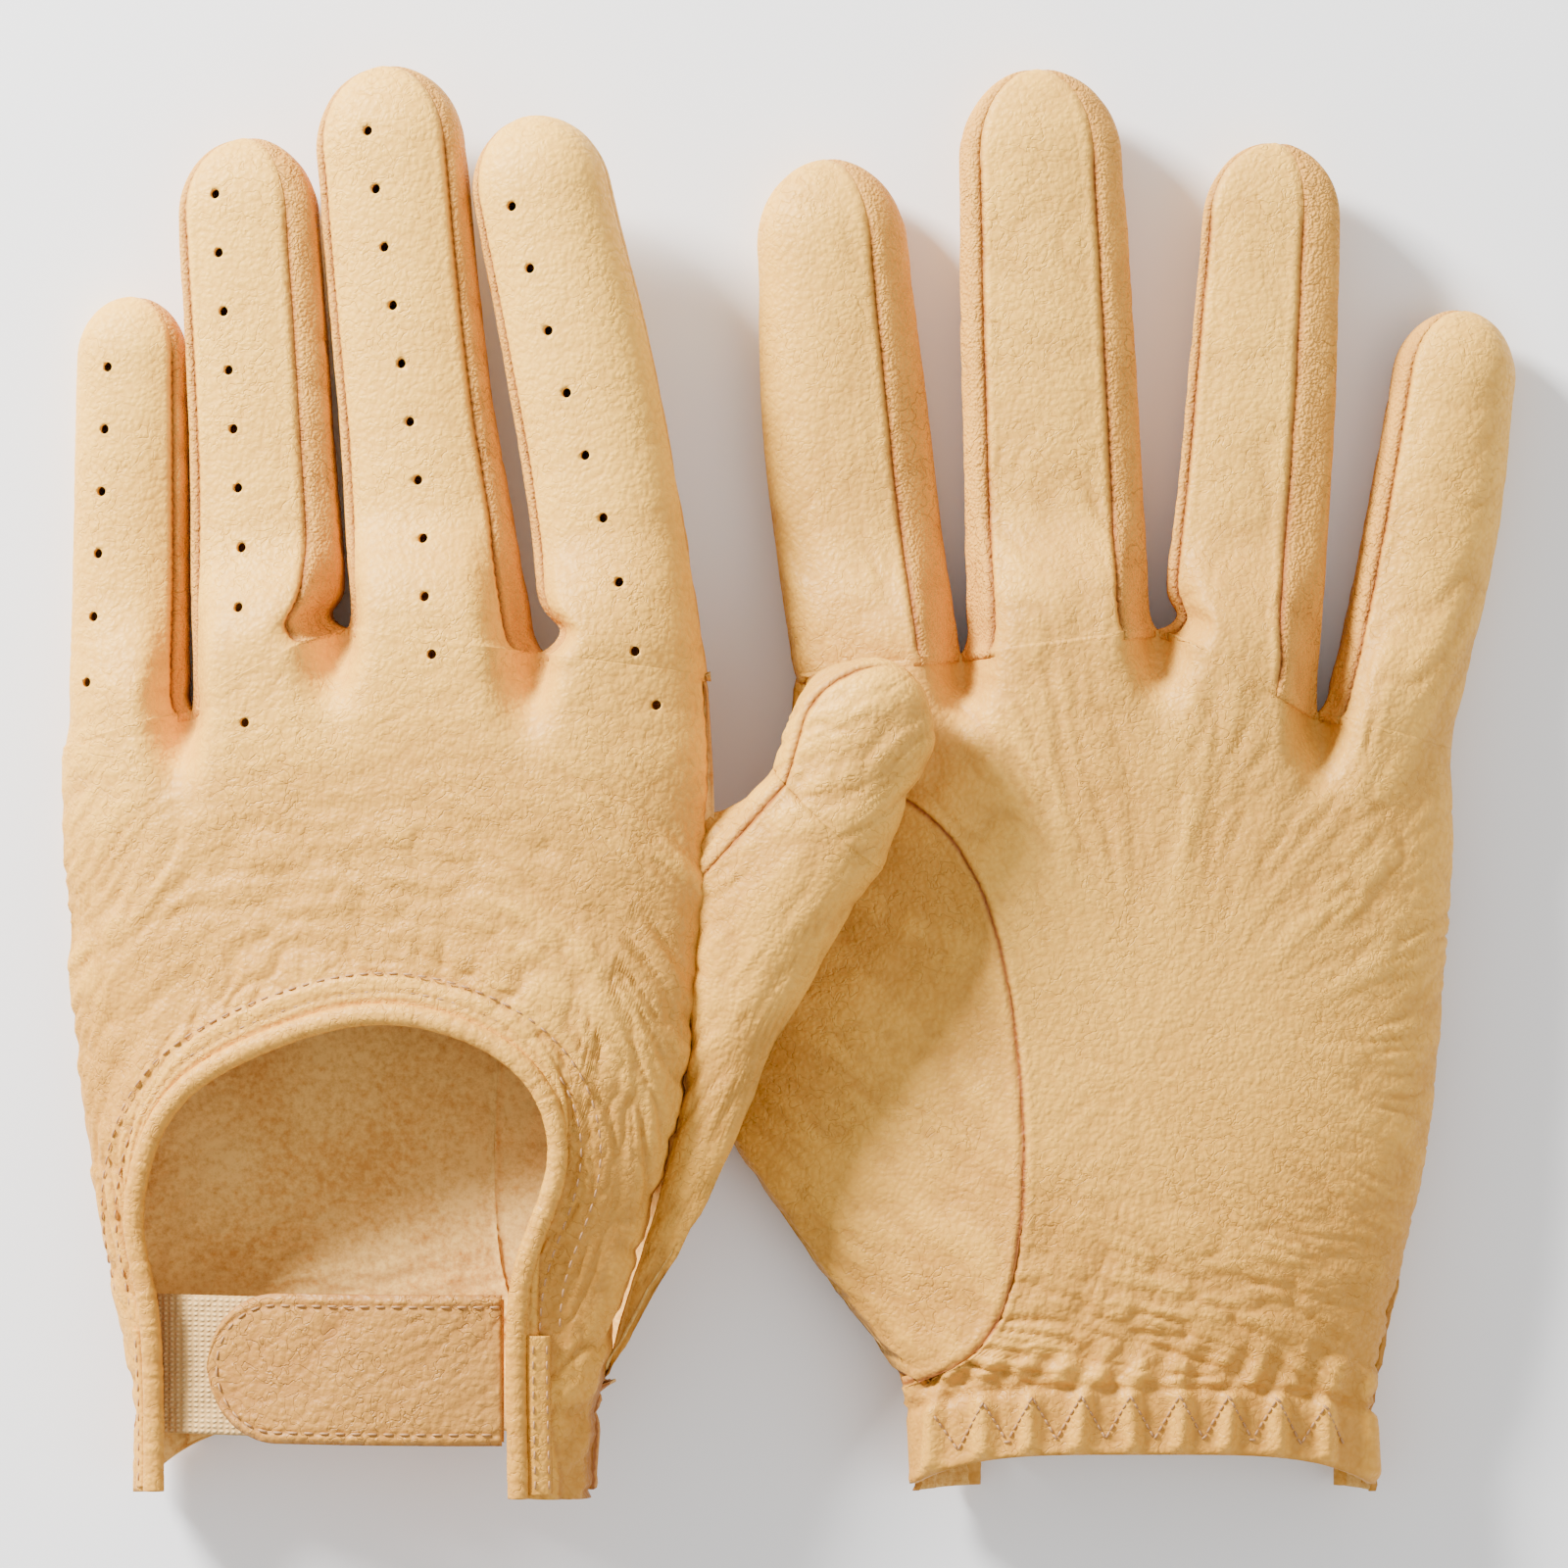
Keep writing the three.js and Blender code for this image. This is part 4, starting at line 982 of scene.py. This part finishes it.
def clustered(count, first=1.0, last=1.0):
    """Shares from 0 to 1, crowded towards either end by the given weights."""
    even = np.linspace(0, 1, count)
    crowd = (1 - np.cos(np.pi * even)) / 2
    weight = 0.5 * (first * (1 - even) + last * even)
    return even * (1 - weight) + crowd * weight


def hand_back(glove):
    """The back: rings from under the cut-out's binding to the outline."""
    q = np.linspace(0, 1, 420)[:, None]
    inner = cut_out(glove, q[:, 0], np.full(420, 1.1 * BINDING_HALF))[:, None]
    outer = back_outline(glove, q[:, 0])[:, None]
    reach = np.linalg.norm(outer - inner, axis=-1)
    fine = np.minimum(9 * MM, 0.6 * reach)
    near = np.linspace(0, 1, 26)[None] * fine
    beyond = fine + (reach - fine) * (1 - (1 - np.linspace(0, 1, 62)[None, 1:]) ** 1.4)
    distance = np.concatenate([near, beyond], 1)
    plan = inner + (outer - inner) * (distance / reach)[..., None]
    x, y = plan[..., 0], plan[..., 1]
    grid = to_table(glove, hand_point(glove, x, y, True))
    from_edge = distance - 0.9 * BINDING_HALF
    along = q * 230 * MM
    relief = back_relief(glove, x, y) * ease(from_edge / (7 * MM))
    welt = ease(from_edge / (1.2 * MM)) * (1 - ease((from_edge - WELT_LINES[1] + 0.8 * MM) / (1.6 * MM)))
    lines = sum(np.exp(-((from_edge - line) / (0.42 * MM)) ** 2) for line in WELT_LINES)
    pucker = 0.7 + 0.3 * np.cos(2 * np.pi * along / (2.2 * MM))
    side = (reach - distance) * ((q < SIDE_SHARE) | (q > 1 - SIDE_SHARE)) + 1.0 * (
        (q >= SIDE_SHARE) & (q <= 1 - SIDE_SHARE))
    relief = (relief + 0.40 * MM * welt - 0.34 * MM * lines * pucker
              + seam_groove(side, along))
    tone = crease_shade_and_seam_tone(relief * ease(from_edge / (6 * MM)), 0.5 * np.exp(-(side / (0.5 * MM)) ** 2))
    tone = np.clip(tone + 0.25 * lines, 0, 1)
    return panel(f"{glove.name}_hand_back_skin", grid, LEATHER, [SKIN, SUEDE],
                 inside(glove), tone, relief)


def inside(glove):
    """A point inside the hand, on the table's axes."""
    return to_table(glove, np.array([0.5 * (glove.low[60] + glove.high[60]), glove.stations[70], 0.0]))


def palm_edge(glove, t):
    """The palm's edge on the thumb side: the side seam, then the thumb's seam, then the side seam."""
    last = glove.knuckles[4][1]
    levels = np.concatenate([np.linspace(glove.palm_cuff, glove.thumb_foot, 16)[:-1],
                             np.linspace(glove.thumb_foot, glove.thumb_top, 120),
                             np.linspace(glove.thumb_top, last, 16)[1:]])
    x = np.where((levels >= glove.thumb_foot) & (levels <= glove.thumb_top),
                 np.interp(levels, *glove.thumb_arc), sides_at(glove, levels)[1])
    line = np.stack([x, levels], 1)
    return resample(line, 400)[(t * 399).round().astype(int)]


def palm(glove):
    """The palm: rows between the little side's seam and the thumb side, up to the knuckle line."""
    rows, columns = 220, 200
    t = np.linspace(0, 1, rows)
    s = clustered(columns, 1.2, 0.9)[None]
    right = palm_edge(glove, t)[:, None]
    y_left = glove.palm_cuff + (glove.knuckles[0][1] - glove.palm_cuff) * t[:, None]
    left = np.stack([sides_at(glove, y_left)[0], y_left], -1)
    plan = left + (right - left) * s[..., None]
    first, last = glove.knuckles[0], glove.knuckles[4]
    top = knuckle_line(glove, s[0]) - (first + (last - first) * s[0][:, None])
    plan = plan + top[None] * (t[:, None, None] ** 3)
    arch = palm_arch(glove, s) * (1 - t[:, None]) ** 3
    x, y = plan[..., 0], plan[..., 1] + arch
    grid = to_table(glove, hand_point(glove, x, y, False))
    before, after = edge_distance(grid)
    seams = np.minimum(before, after)
    band = cuff_gathers(glove, x, y - arch)
    relief = (palm_relief(glove, x, y) * ease((y - arch - glove.palm_cuff - 8 * MM) / (6 * MM))
              + band + seam_groove(seams, y))
    tone = crease_shade_and_seam_tone(relief, np.exp(-(seams / (0.45 * MM)) ** 2))
    return panel(f"{glove.name}_palm_skin", grid, LEATHER, [SKIN, SUEDE], inside(glove), tone, relief)


def palm_arch(glove, s):
    """How far the palm's cuff rises in the middle, measured from its lowest and highest edge."""
    return glove.arch * (1 - np.abs(2 * s - 1) ** 4)


def stall_rows(stall):
    """Distances along a stall from its root, crowded in the round cap at its tip."""
    start = stall.length - stall.cap
    body = np.linspace(0, start, max(40, int(start / (0.62 * MM))))
    tucked = [-1.2 * MM, -0.5 * MM]
    # The last row stops just short of the pole, so that no faces collapse there.
    return np.concatenate([tucked, body, start + stall.cap * np.sin(np.linspace(0, 1.515, 20)[1:])])


def stall_seams(stall):
    """Where the panels meet round the section, as turns from the thumb side over the back."""
    turn = lambda share: np.arccos(min(1.0, share) ** (STALL_POWER / 2)) if share < 0.97 else 0.0
    back, front = stall.seams["back"], stall.seams["front"]
    return {"back": (turn(back[1]), np.pi - turn(back[0])),
            "front": (-np.pi + turn(front[0]), -turn(front[1])),
            "thumb": (-turn(front[1]), turn(back[1])),
            "little": (np.pi - turn(back[0]), np.pi + turn(front[0]))}


def stall_panel(glove, stall, part, columns, material):
    """One panel of a stall, between two of its seams; its relief carries on the hand's at the root."""
    start, end = stall_seams(stall)[part]
    t = stall_rows(stall)[:, None]
    turn = start + (end - start) * clustered(columns, 0.9, 0.9)[None]
    t, turn = np.broadcast_arrays(t, turn)
    hand = stall_section(glove, stall, t, turn)
    grid = to_table(glove, hand)
    before, after = edge_distance(grid)
    seam = np.minimum(before, after)
    root = ease(t / (2.5 * MM))
    if part == "back":
        folds = back_relief(glove, hand[..., 0], hand[..., 1])
    elif part == "front":
        folds = palm_relief(glove, hand[..., 0], hand[..., 1])
    else:
        folds = 0.6 * MM * wrinkles(t + 3, turn * 6 * MM) * root
    side = np.minimum(1, seam / (2 * MM))
    tip = 1 - ease((t - stall.length + 1.3 * stall.cap) / stall.cap)
    groove = seam_groove(seam, t) * np.maximum(root, 0.15) * (0.4 + 0.6 * tip)
    relief = folds * (0.35 + 0.65 * side) + groove - 0.12 * MM * (t < 0)
    tone = crease_shade_and_seam_tone(folds, np.exp(-(seam / (0.5 * MM)) ** 2) * (0.35 + 0.65 * root) * (0.3 + 0.7 * tip))
    heart = to_table(glove, np.array([*(stall.root + stall.forward * stall.length / 2)[:2], stall.centre]))
    return panel(f"{glove.name}_{stall.name}_{part}_skin", grid, LEATHER, [material, SUEDE],
                 heart, tone, relief)


def ride_stall(glove, stall, piece):
    """The stall bends past the knuckle line; the furthest root corner starts the bend."""
    ends = [(np.array([*end, 0]) - stall.root) @ stall.forward for end in stall.ends]
    start = max(0.0, *ends) + 0.5 * MM
    point = lambda d: to_table(glove, stall.root + stall.forward * d)
    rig.blend(piece, f"{glove.name}_glove", f"{glove.name}_{stall.name}", point(start),
             point(start + BEND_LENGTH))


def build_stall(glove, stall):
    """A stall's back, front and side strips. The back is punched, and all bend at the root."""
    index = stall.index
    pieces = {"back": (44, SKIN, f"{stall.name}_back"), "front": (44, SKIN, f"{stall.name}_front")}
    if index > 0:
        pieces["little"] = (14, GUSSET, f"{stall.name}_fourchette_by_{STALLS[index - 1]}")
    if index < 3:
        pieces["thumb"] = (14, GUSSET, f"{stall.name}_fourchette_by_{STALLS[index + 1]}")
    for part, (columns, material, node) in pieces.items():
        piece = stall_panel(glove, stall, part, columns, material)
        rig.replaces(piece, f"{glove.name}_{node}")
        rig.slot(piece, "leather")
        if part == "back":
            punch(piece, holes_of(glove, stall, on_stall=True))
        ride_stall(glove, stall, piece)


# Punched holes of each stall: from the tip to the first, spacing, count, and the first's and the
# last's distance from the stall's centre line towards the thumb.
HOLE_ROWS = {"little": (10.7, 9.2, 7, -2.4, -5.0), "ring": (8.4, 8.7, 10, -3.6, -1.2),
             "middle": (9.9, 8.65, 10, -2.4, 0.8), "index": (13.3, 9.5, 9, -2.2, 5.0)}
HOLE_RADIUS = 0.72 * MM


def holes_of(glove, stall, on_stall):
    """Centres of a stall's punched holes, on the back's surface, in the hand frame."""
    first, spacing, count, near, far = (v if k == 2 else v * MM for k, v in
                                        enumerate(HOLE_ROWS[stall.name]))
    step = np.arange(count)
    t = stall.length - first - spacing * step
    offset = near + (far - near) * step / (count - 1)
    place = stall.root + stall.forward * t[:, None] + stall.sideways * offset[:, None]
    keep = t > 1.5 * MM if on_stall else t < -1.5 * MM
    place, t = place[keep], t[keep]
    if on_stall:
        low, high = np.interp(t, stall.t, stall.low), np.interp(t, stall.t, stall.high)
        b = np.clip((offset[keep] - (low + high) / 2) / ((high - low) / 2), -0.9, 0.9)
        turn = np.arccos(np.sign(b) * np.abs(b) ** (STALL_POWER / 2))
        place = stall_section(glove, stall, t, turn)
    elif len(t):
        place = hand_point(glove, place[:, 0], place[:, 1], True)
    return place if len(t) else np.zeros((0, 3))


def punch(piece, centres):
    """Cuts round holes straight through a panel."""
    if not len(centres):
        return
    cutter = bpy.data.meshes.new("punch")
    shape = bmesh.new()
    glove = GLOVES[piece.name.split("_")[0]]
    for centre in centres:
        made = bmesh.ops.create_cone(shape, cap_ends=True, segments=18, radius1=HOLE_RADIUS,
                                     radius2=HOLE_RADIUS, depth=5 * MM)
        centre = glove.origin + centre[0] * glove.x + centre[1] * glove.y + centre[2] * glove.z
        turn = np.stack([np.cross(glove.y, glove.up), glove.y, glove.up])
        for vertex in made["verts"]:
            vertex.co = centre + np.array(vertex.co) @ turn
    bmesh.ops.recalc_face_normals(shape, faces=shape.faces)
    shape.to_mesh(cutter)
    shape.free()
    tool = bpy.data.objects.new("punch", cutter)
    bpy.context.scene.collection.objects.link(tool)
    cut = piece.modifiers.new("holes", "BOOLEAN")
    cut.operation, cut.object, cut.solver = "DIFFERENCE", tool, "MANIFOLD"
    bpy.context.view_layer.update()
    taken = piece.evaluated_get(bpy.context.evaluated_depsgraph_get())
    if len(taken.data.polygons) == len(piece.data.polygons):
        cut.solver = "EXACT"
        bpy.context.view_layer.update()
        taken = piece.evaluated_get(bpy.context.evaluated_depsgraph_get())
    mesh = bpy.data.meshes.new_from_object(taken)
    piece.modifiers.clear()
    piece.data = mesh
    bpy.data.objects.remove(tool)


def build_thumb(glove):
    """The heel and quirk stay with the hand; the upper glove's thumb bends beyond them."""
    spans_round = {"outer": (QUIRK[1], 1 + QUIRK[0]), "inner": QUIRK}
    parts = [("heel", "outer", 0, THUMB_JOIN, 46, 120), ("quirk", "inner", 0, THUMB_JOIN, 46, 36),
             ("outer", "outer", THUMB_JOIN, 1, 70, 100), ("inner", "inner", THUMB_JOIN, 1, 70, 30)]
    for part, around, a0, a1, rows, columns in parts:
        if a1 == 1:
            cap = 1 - glove.thumb.cap / (glove.thumb.end - glove.thumb.s[0]) * (1 - THUMB_JOIN)
            a = np.concatenate([np.linspace(a0, cap, rows - 16),
                                cap + (1 - cap) * np.sin(np.linspace(0, 1.515, 17)[1:])])
        else:
            a = np.linspace(a0, a1, rows)
        start, end = spans_round[around]
        turn = start + (end - start) * np.linspace(0, 1, columns)
        a, turn = np.broadcast_arrays(a[:, None], turn[None])
        hand = thumb_point(glove, a, turn)
        grid = to_table(glove, hand)
        before, after = edge_distance(grid)
        down = edge_distance(grid, 0)[0] if a0 == 0 else np.full(a.shape, 1.0)
        seam = np.minimum(np.minimum(before, after), down)
        tip = 1 - ease((a - 0.9) / 0.1)
        folds = 1.5 * MM * wrinkles(hand[..., 0] * 0.8 + hand[..., 1] * 0.6 + 5,
                                     hand[..., 1] * 0.8 - hand[..., 0] * 0.6) * (0.4 + 0.6 * tip)
        relief = folds * np.minimum(1, 0.3 + seam / (3 * MM)) + seam_groove(seam, before) * tip
        tone = crease_shade_and_seam_tone(folds, np.exp(-(seam / (0.5 * MM)) ** 2) * tip)
        heart = to_table(glove, glove.thumb.base if a0 else glove.thumb.heart)
        piece = panel(f"{glove.name}_thumb_{part}_skin", grid, LEATHER, [SKIN, SUEDE], heart, tone, relief)
        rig.replaces(piece, f"{glove.name}_thumb_{part}")
        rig.slot(piece, "leather")
        if a1 == 1 and glove.back_up:
            at = glove.thumb.base + glove.thumb.direction * glove.thumb.s[0]
            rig.blend(piece, "upper_glove", "upper_thumb", to_table(glove, at + glove.thumb.direction * MM),
                     to_table(glove, at + glove.thumb.direction * (BEND_LENGTH + MM)))
        else:
            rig.ride(piece, f"{glove.name}_glove")


def build_binding(glove):
    """A strip rolled over the cut-out's edge, finely puckered across."""
    q = np.linspace(0, 1, 620)
    plan = cut_out(glove, q, np.full(620, BINDING_HALF))
    hand = hand_point(glove, plan[:, 0], plan[:, 1], True)
    hand[:, 2] += 0.1 * MM
    path = to_table(glove, hand)
    step = np.gradient(path, axis=0)
    step /= np.linalg.norm(step, axis=1, keepdims=True)
    up = np.tile(glove.z, (620, 1))
    side = np.cross(step, up)
    side /= np.linalg.norm(side, axis=1, keepdims=True)
    up = np.cross(side, step)
    up *= np.sign((up @ glove.z))[:, None]
    pucker = creases(q * 170, q * 0 + 3.5, 3)
    half_height = BINDING_TALL * (1 - 0.13 * pucker)
    # The pucker dips take painted shade through the tone, and the whole roll takes a little of the dark tint.
    piece = tube(f"{glove.name}_binding_roll", path, side, up, BINDING_HALF * (1 - 0.05 * pucker),
                 half_height, SKIN, 0.22 * pucker + 0.05)
    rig.replaces(piece, f"{glove.name}_opening_binding")
    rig.slot(piece, "leather")
    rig.ride(piece, f"{glove.name}_glove")


def build_plackets(glove):
    """Folded strips on the two legs beside the binding, from the cuff to the strap."""
    reach = 0.135
    for node, is_thumb in (("placket_little_side", False), ("placket_thumb_side", True)):
        q = 1 - reach * np.linspace(0.02, 1, 80) if is_thumb else reach * np.linspace(0.02, 1, 80)
        width = (3.4 if is_thumb else 1.9) * MM
        v = clustered(14)
        out = 2 * BINDING_HALF + 0.1 * MM + width * v
        q, out = np.meshgrid(q, out, indexing="ij")
        plan = cut_out(glove, q, out)
        hand = hand_point(glove, plan[..., 0], plan[..., 1], True)
        hand[..., 2] += 1.0 * MM
        grid = to_table(glove, hand)
        before, after = edge_distance(grid)
        edge = np.minimum(before, after)
        relief = -0.55 * MM * np.exp(-(edge / (0.45 * MM)) ** 2) + 0.1 * MM * wrinkles(q, out * 3)
        piece = panel(f"{glove.name}_{node}_strip", grid, 1.2 * MM, [SKIN], inside(glove),
                      0.4 * np.exp(-(edge / (0.4 * MM)) ** 2), relief)
        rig.replaces(piece, f"{glove.name}_{node}")
        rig.slot(piece, "leather")
        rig.ride(piece, f"{glove.name}_glove")


def build_cuff_layers(glove):
    """The elastic and the turned hem, inside the palm's cuff."""
    for node, depth, low, high, margin, material, slot in (
            ("wrist_elastic", 1.5, 1.5, 7.5, 0.12, ELASTIC, "elastic"),
            ("hem_facing", 2.6, 0.3, 9.0, 0.1, SUEDE, "suede")):
        s, rise = np.meshgrid(np.linspace(margin, 1 - margin, 90), np.linspace(low, high, 14) * MM,
                              indexing="ij")
        y = glove.palm_cuff + rise
        left, right = sides_at(glove, y)
        x = left + (right - left) * s
        y = y + palm_arch(glove, s)
        hand = hand_point(glove, x, y, False)
        hand[..., 2] += depth * MM + 0.15 * MM * np.cos(2 * np.pi * x / ZIGZAG)
        piece = panel(f"{glove.name}_{node}_layer", to_table(glove, hand), 0.7 * MM, [material],
                      inside(glove))
        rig.replaces(piece, f"{glove.name}_{node}")
        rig.slot(piece, slot)
        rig.ride(piece, f"{glove.name}_glove")


def strap_layer(glove, node, columns, rounded, thickness, material, slot, body, edge_drop, rough=0.0):
    """A layer of the strap: straight, or with a round free end, bent to the CAD strap's arch."""
    edges = edges_of(glove, node)
    low, high = edges.reshape(-1, 3).min(0), edges.reshape(-1, 3).max(0)
    x_axis, _, z_axis = np.eye(3)
    stations = np.linspace(low[0] + 0.1 * MM, high[0] - 0.1 * MM, 40)
    top = smooth(spans(edges, np.zeros(3), x_axis, z_axis, stations)[1], 6)
    half = (high[1] - low[1]) / 2
    u = np.linspace(0, np.pi / 2, 26)
    cap = low[0] + half * (1 - np.sin(u[::-1])) if rounded else low[0] + half * np.linspace(0, 1, 26)
    x = np.concatenate([cap, np.linspace(low[0] + half, high[0], 70)[1:]])
    round_half = half * np.sqrt(np.maximum(0.004, 1 - np.maximum(0, (low[0] + half - x) / half) ** 2))
    reach = round_half if rounded else np.full(len(x), half)
    v = clustered(columns)[None] * 2 - 1
    x, y = np.broadcast_arrays(x[:, None], (low[1] + half) + v * reach[:, None])
    fringe = rough * (noise(x / (0.5 * MM), v * 0 + 4) - 0.5) * np.abs(v) ** 12
    z = np.interp(x, stations, top)
    grid = to_table(glove, np.stack([x, y + fringe, z], -1))
    before, after = edge_distance(grid)
    end = x - low[0] if not rounded else np.full(x.shape, 1.0)
    edge = np.minimum(np.minimum(before, after), end)
    folds = 0.55 * MM * wrinkles(x * 0.7 + y * 0.7 + 2, y * 0.7 - x * 0.7) if edge_drop else 0 * x
    line = np.exp(-((edge - TAB_BORDER) / (0.35 * MM)) ** 2) if edge_drop > 0.4 * MM else 0 * x
    relief = folds - edge_drop * np.exp(-(edge / (0.5 * MM)) ** 2) - 0.22 * MM * line
    tone = crease_shade_and_seam_tone(folds, 0.45 * np.exp(-(edge / (0.35 * MM)) ** 2) + 0.2 * line)
    piece = panel(f"{glove.name}_{node}_layer", grid, thickness, [material], inside(glove), tone, relief)
    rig.replaces(piece, f"{glove.name}_{node}")
    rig.slot(piece, slot)
    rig.ride(piece, f"{glove.name}_{body}")
    return SimpleNamespace(low=low, high=high, half=half, stations=stations, top=top)


def strap_border(glove, strap):
    """The tab's border line, a margin in from its edge, as points and normals."""
    half = strap.half - TAB_BORDER
    middle = strap.low[1] + strap.half
    turn = np.linspace(-np.pi / 2, np.pi / 2, 60)
    straight = np.linspace(strap.high[0] - 1 * MM, strap.low[0] + strap.half, 60)
    x = np.concatenate([straight, strap.low[0] + strap.half - half * np.cos(turn), straight[::-1]])
    y = np.concatenate([np.full(60, middle - half), middle + half * np.sin(turn),
                        np.full(60, middle + half)])
    z = np.interp(x, strap.stations, strap.top)
    line = to_table(glove, np.stack([x, y, z], -1))
    return line, np.tile(glove.z, (len(line), 1))


def build_strap(glove):
    """The closure: the loop tape on the hand, and the tab's hook patch, lining and leather."""
    strap_layer(glove, "closure_tape", 40, False, 0.7 * MM, TAPE, "tape", "glove", 0.15 * MM)
    strap_layer(glove, "tab_hook_patch", 30, True, 0.7 * MM, HOOK, "hook", "tab", 0.0)
    strap_layer(glove, "tab_lining", 40, True, 0.7 * MM, SUEDE, "suede", "tab", 0.0, 0.5 * MM)
    strap = strap_layer(glove, "tab_leather", 60, True, 1.1 * MM, TAB_SKIN, "leather", "tab", 0.5 * MM)
    sewn = stitches(f"{glove.name}_tab_stitches", [strap_border(glove, strap)], 2.4 * MM, 1.5 * MM,
                    0.17 * MM, THREAD)
    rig.slot(sewn, "leather")
    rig.ride(sewn, f"{glove.name}_tab")


def build_hand_stitches(glove):
    """Stitches that stay with the hand: two rows round the cut-out, the legs, and the wrist's zigzag."""
    lines = []
    normal = lambda count: np.tile(glove.z, (count, 1))
    for line in WELT_LINES:
        q = np.linspace(0.14, 0.86, 500)
        plan = cut_out(glove, q, np.full(500, 2 * BINDING_HALF + line))
        lines.append((to_table(glove, hand_point(glove, plan[:, 0], plan[:, 1], True)), normal(500)))
    for q, out in ((np.linspace(0.005, 0.13, 80), 1.0), (np.linspace(0.995, 0.87, 80), 1.0),
                   (np.linspace(0.995, 0.87, 80), 2.9)):
        plan = cut_out(glove, q, np.full(80, 2 * BINDING_HALF + out * MM))
        hand = hand_point(glove, plan[:, 0], plan[:, 1], True)
        hand[:, 2] += 1.0 * MM
        lines.append((to_table(glove, hand), normal(80)))
    piece = stitches(f"{glove.name}_hand_stitches", lines, 2.2 * MM, 1.35 * MM, 0.16 * MM, THREAD)
    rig.slot(piece, "leather")
    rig.ride(piece, f"{glove.name}_glove")
    s = np.linspace(0.08, 0.94, 1200)
    y = np.full(1200, glove.palm_cuff)
    left, right = sides_at(glove, y)
    x = left + (right - left) * s
    saw = np.abs(((x / ZIGZAG) % 1) * 2 - 1)
    rise = (2.4 + 6.4 * saw) * MM
    hand = hand_point(glove, x, glove.palm_cuff + rise + palm_arch(glove, s), False)
    gather = cuff_gathers(glove, x, glove.palm_cuff + rise)
    hand[:, 2] -= gather + 0.05 * MM
    zigzag = stitches(f"{glove.name}_wrist_zigzag", [(to_table(glove, hand), -normal(1200))],
                      1.25 * MM, 1.15 * MM, 0.2 * MM, THREAD)
    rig.slot(zigzag, "leather")
    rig.ride(zigzag, f"{glove.name}_glove")


def build_glove(glove):
    """Every piece of one glove, each on the body of its CAD node."""
    back = hand_back(glove)
    for stall in glove.stalls.values():
        punch(back, holes_of(glove, stall, on_stall=False))
    front = palm(glove)
    for piece, node in ((back, "hand_back"), (front, "palm")):
        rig.replaces(piece, f"{glove.name}_{node}")
        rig.slot(piece, "leather")
        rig.ride(piece, f"{glove.name}_glove")
    for stall in glove.stalls.values():
        build_stall(glove, stall)
    build_thumb(glove)
    build_binding(glove)
    build_plackets(glove)
    build_cuff_layers(glove)
    build_strap(glove)
    build_hand_stitches(glove)


# ---------------------------------------------------------------- the scene


def measure_arch(glove):
    """The rise of the palm's cuff in the middle, from the palm's lowest edge there."""
    edges = edges_of(glove, "palm")
    x, y, _ = np.eye(3)
    middle = np.array([(glove.low[0] + glove.high[0]) / 2])
    return spans(edges, np.zeros(3), x, y, middle)[0][0] - glove.palm_cuff


GLOVES = {name: read_glove(name) for name in ("lower", "upper")}
for each in GLOVES.values():
    each.arch = measure_arch(each)
    build_glove(each)

CAMERA_HEIGHT = 1.2
PICTURE_WIDTH = 232 * MM
LOOK_AT = (-0.4 * MM, -0.7 * MM, 10 * MM)


def add_camera():
    """Straight down from above, fingertips up."""
    data = bpy.data.cameras.new("camera")
    data.lens = data.sensor_width * CAMERA_HEIGHT / PICTURE_WIDTH
    camera = bpy.data.objects.new("camera", data)
    camera.location = (LOOK_AT[0], LOOK_AT[1], LOOK_AT[2] + CAMERA_HEIGHT)
    bpy.context.scene.collection.objects.link(camera)
    bpy.context.scene.camera = camera


def add_light(name, place, size, power, colour=(1, 1, 1)):
    """A square soft light that faces the middle of the gloves."""
    data = bpy.data.lights.new(name, "AREA")
    data.size, data.energy, data.color = size, power, colour
    light = bpy.data.objects.new(name, data)
    light.location = place
    away = np.array(place) / np.linalg.norm(place)
    light.rotation_euler = (np.arccos(away[2]), 0, np.arctan2(away[1], away[0]) + np.pi / 2)
    bpy.context.scene.collection.objects.link(light)


def add_floor():
    """A plain pale square under the gloves, marked as no part of them."""
    material, _, _, shader = new_material("pale floor")
    shader.inputs["Base Color"].default_value = (0.97, 0.97, 0.97, 1)
    shader.inputs["Roughness"].default_value = 0.9
    corner = 2.0
    points = np.array([(x, y, 0) for x, y in ((-corner, -corner), (corner, -corner),
                                              (corner, corner), (-corner, corner))])
    floor = mesh_piece("floor", points, [np.array([0, 1, 2, 3])], [material])
    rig.stage(floor)


world = bpy.data.worlds.new("studio")
bpy.context.scene.world = world
world.use_nodes = True
world.node_tree.nodes["Background"].inputs["Color"].default_value = (1, 1, 1, 1)
world.node_tree.nodes["Background"].inputs["Strength"].default_value = 0.85
add_camera()
add_floor()
add_light("key", (-0.8, 0.75, 0.48), 0.3, 60.0)
add_light("fill", (0.8, -0.3, 0.9), 0.9, 4.0)

with open("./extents.json", "w") as file:
    json.dump({"cad": [list(map(float, corner)) for corner in CAD_BOX],
               "visual": [list(map(float, corner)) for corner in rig.bounds()]}, file)
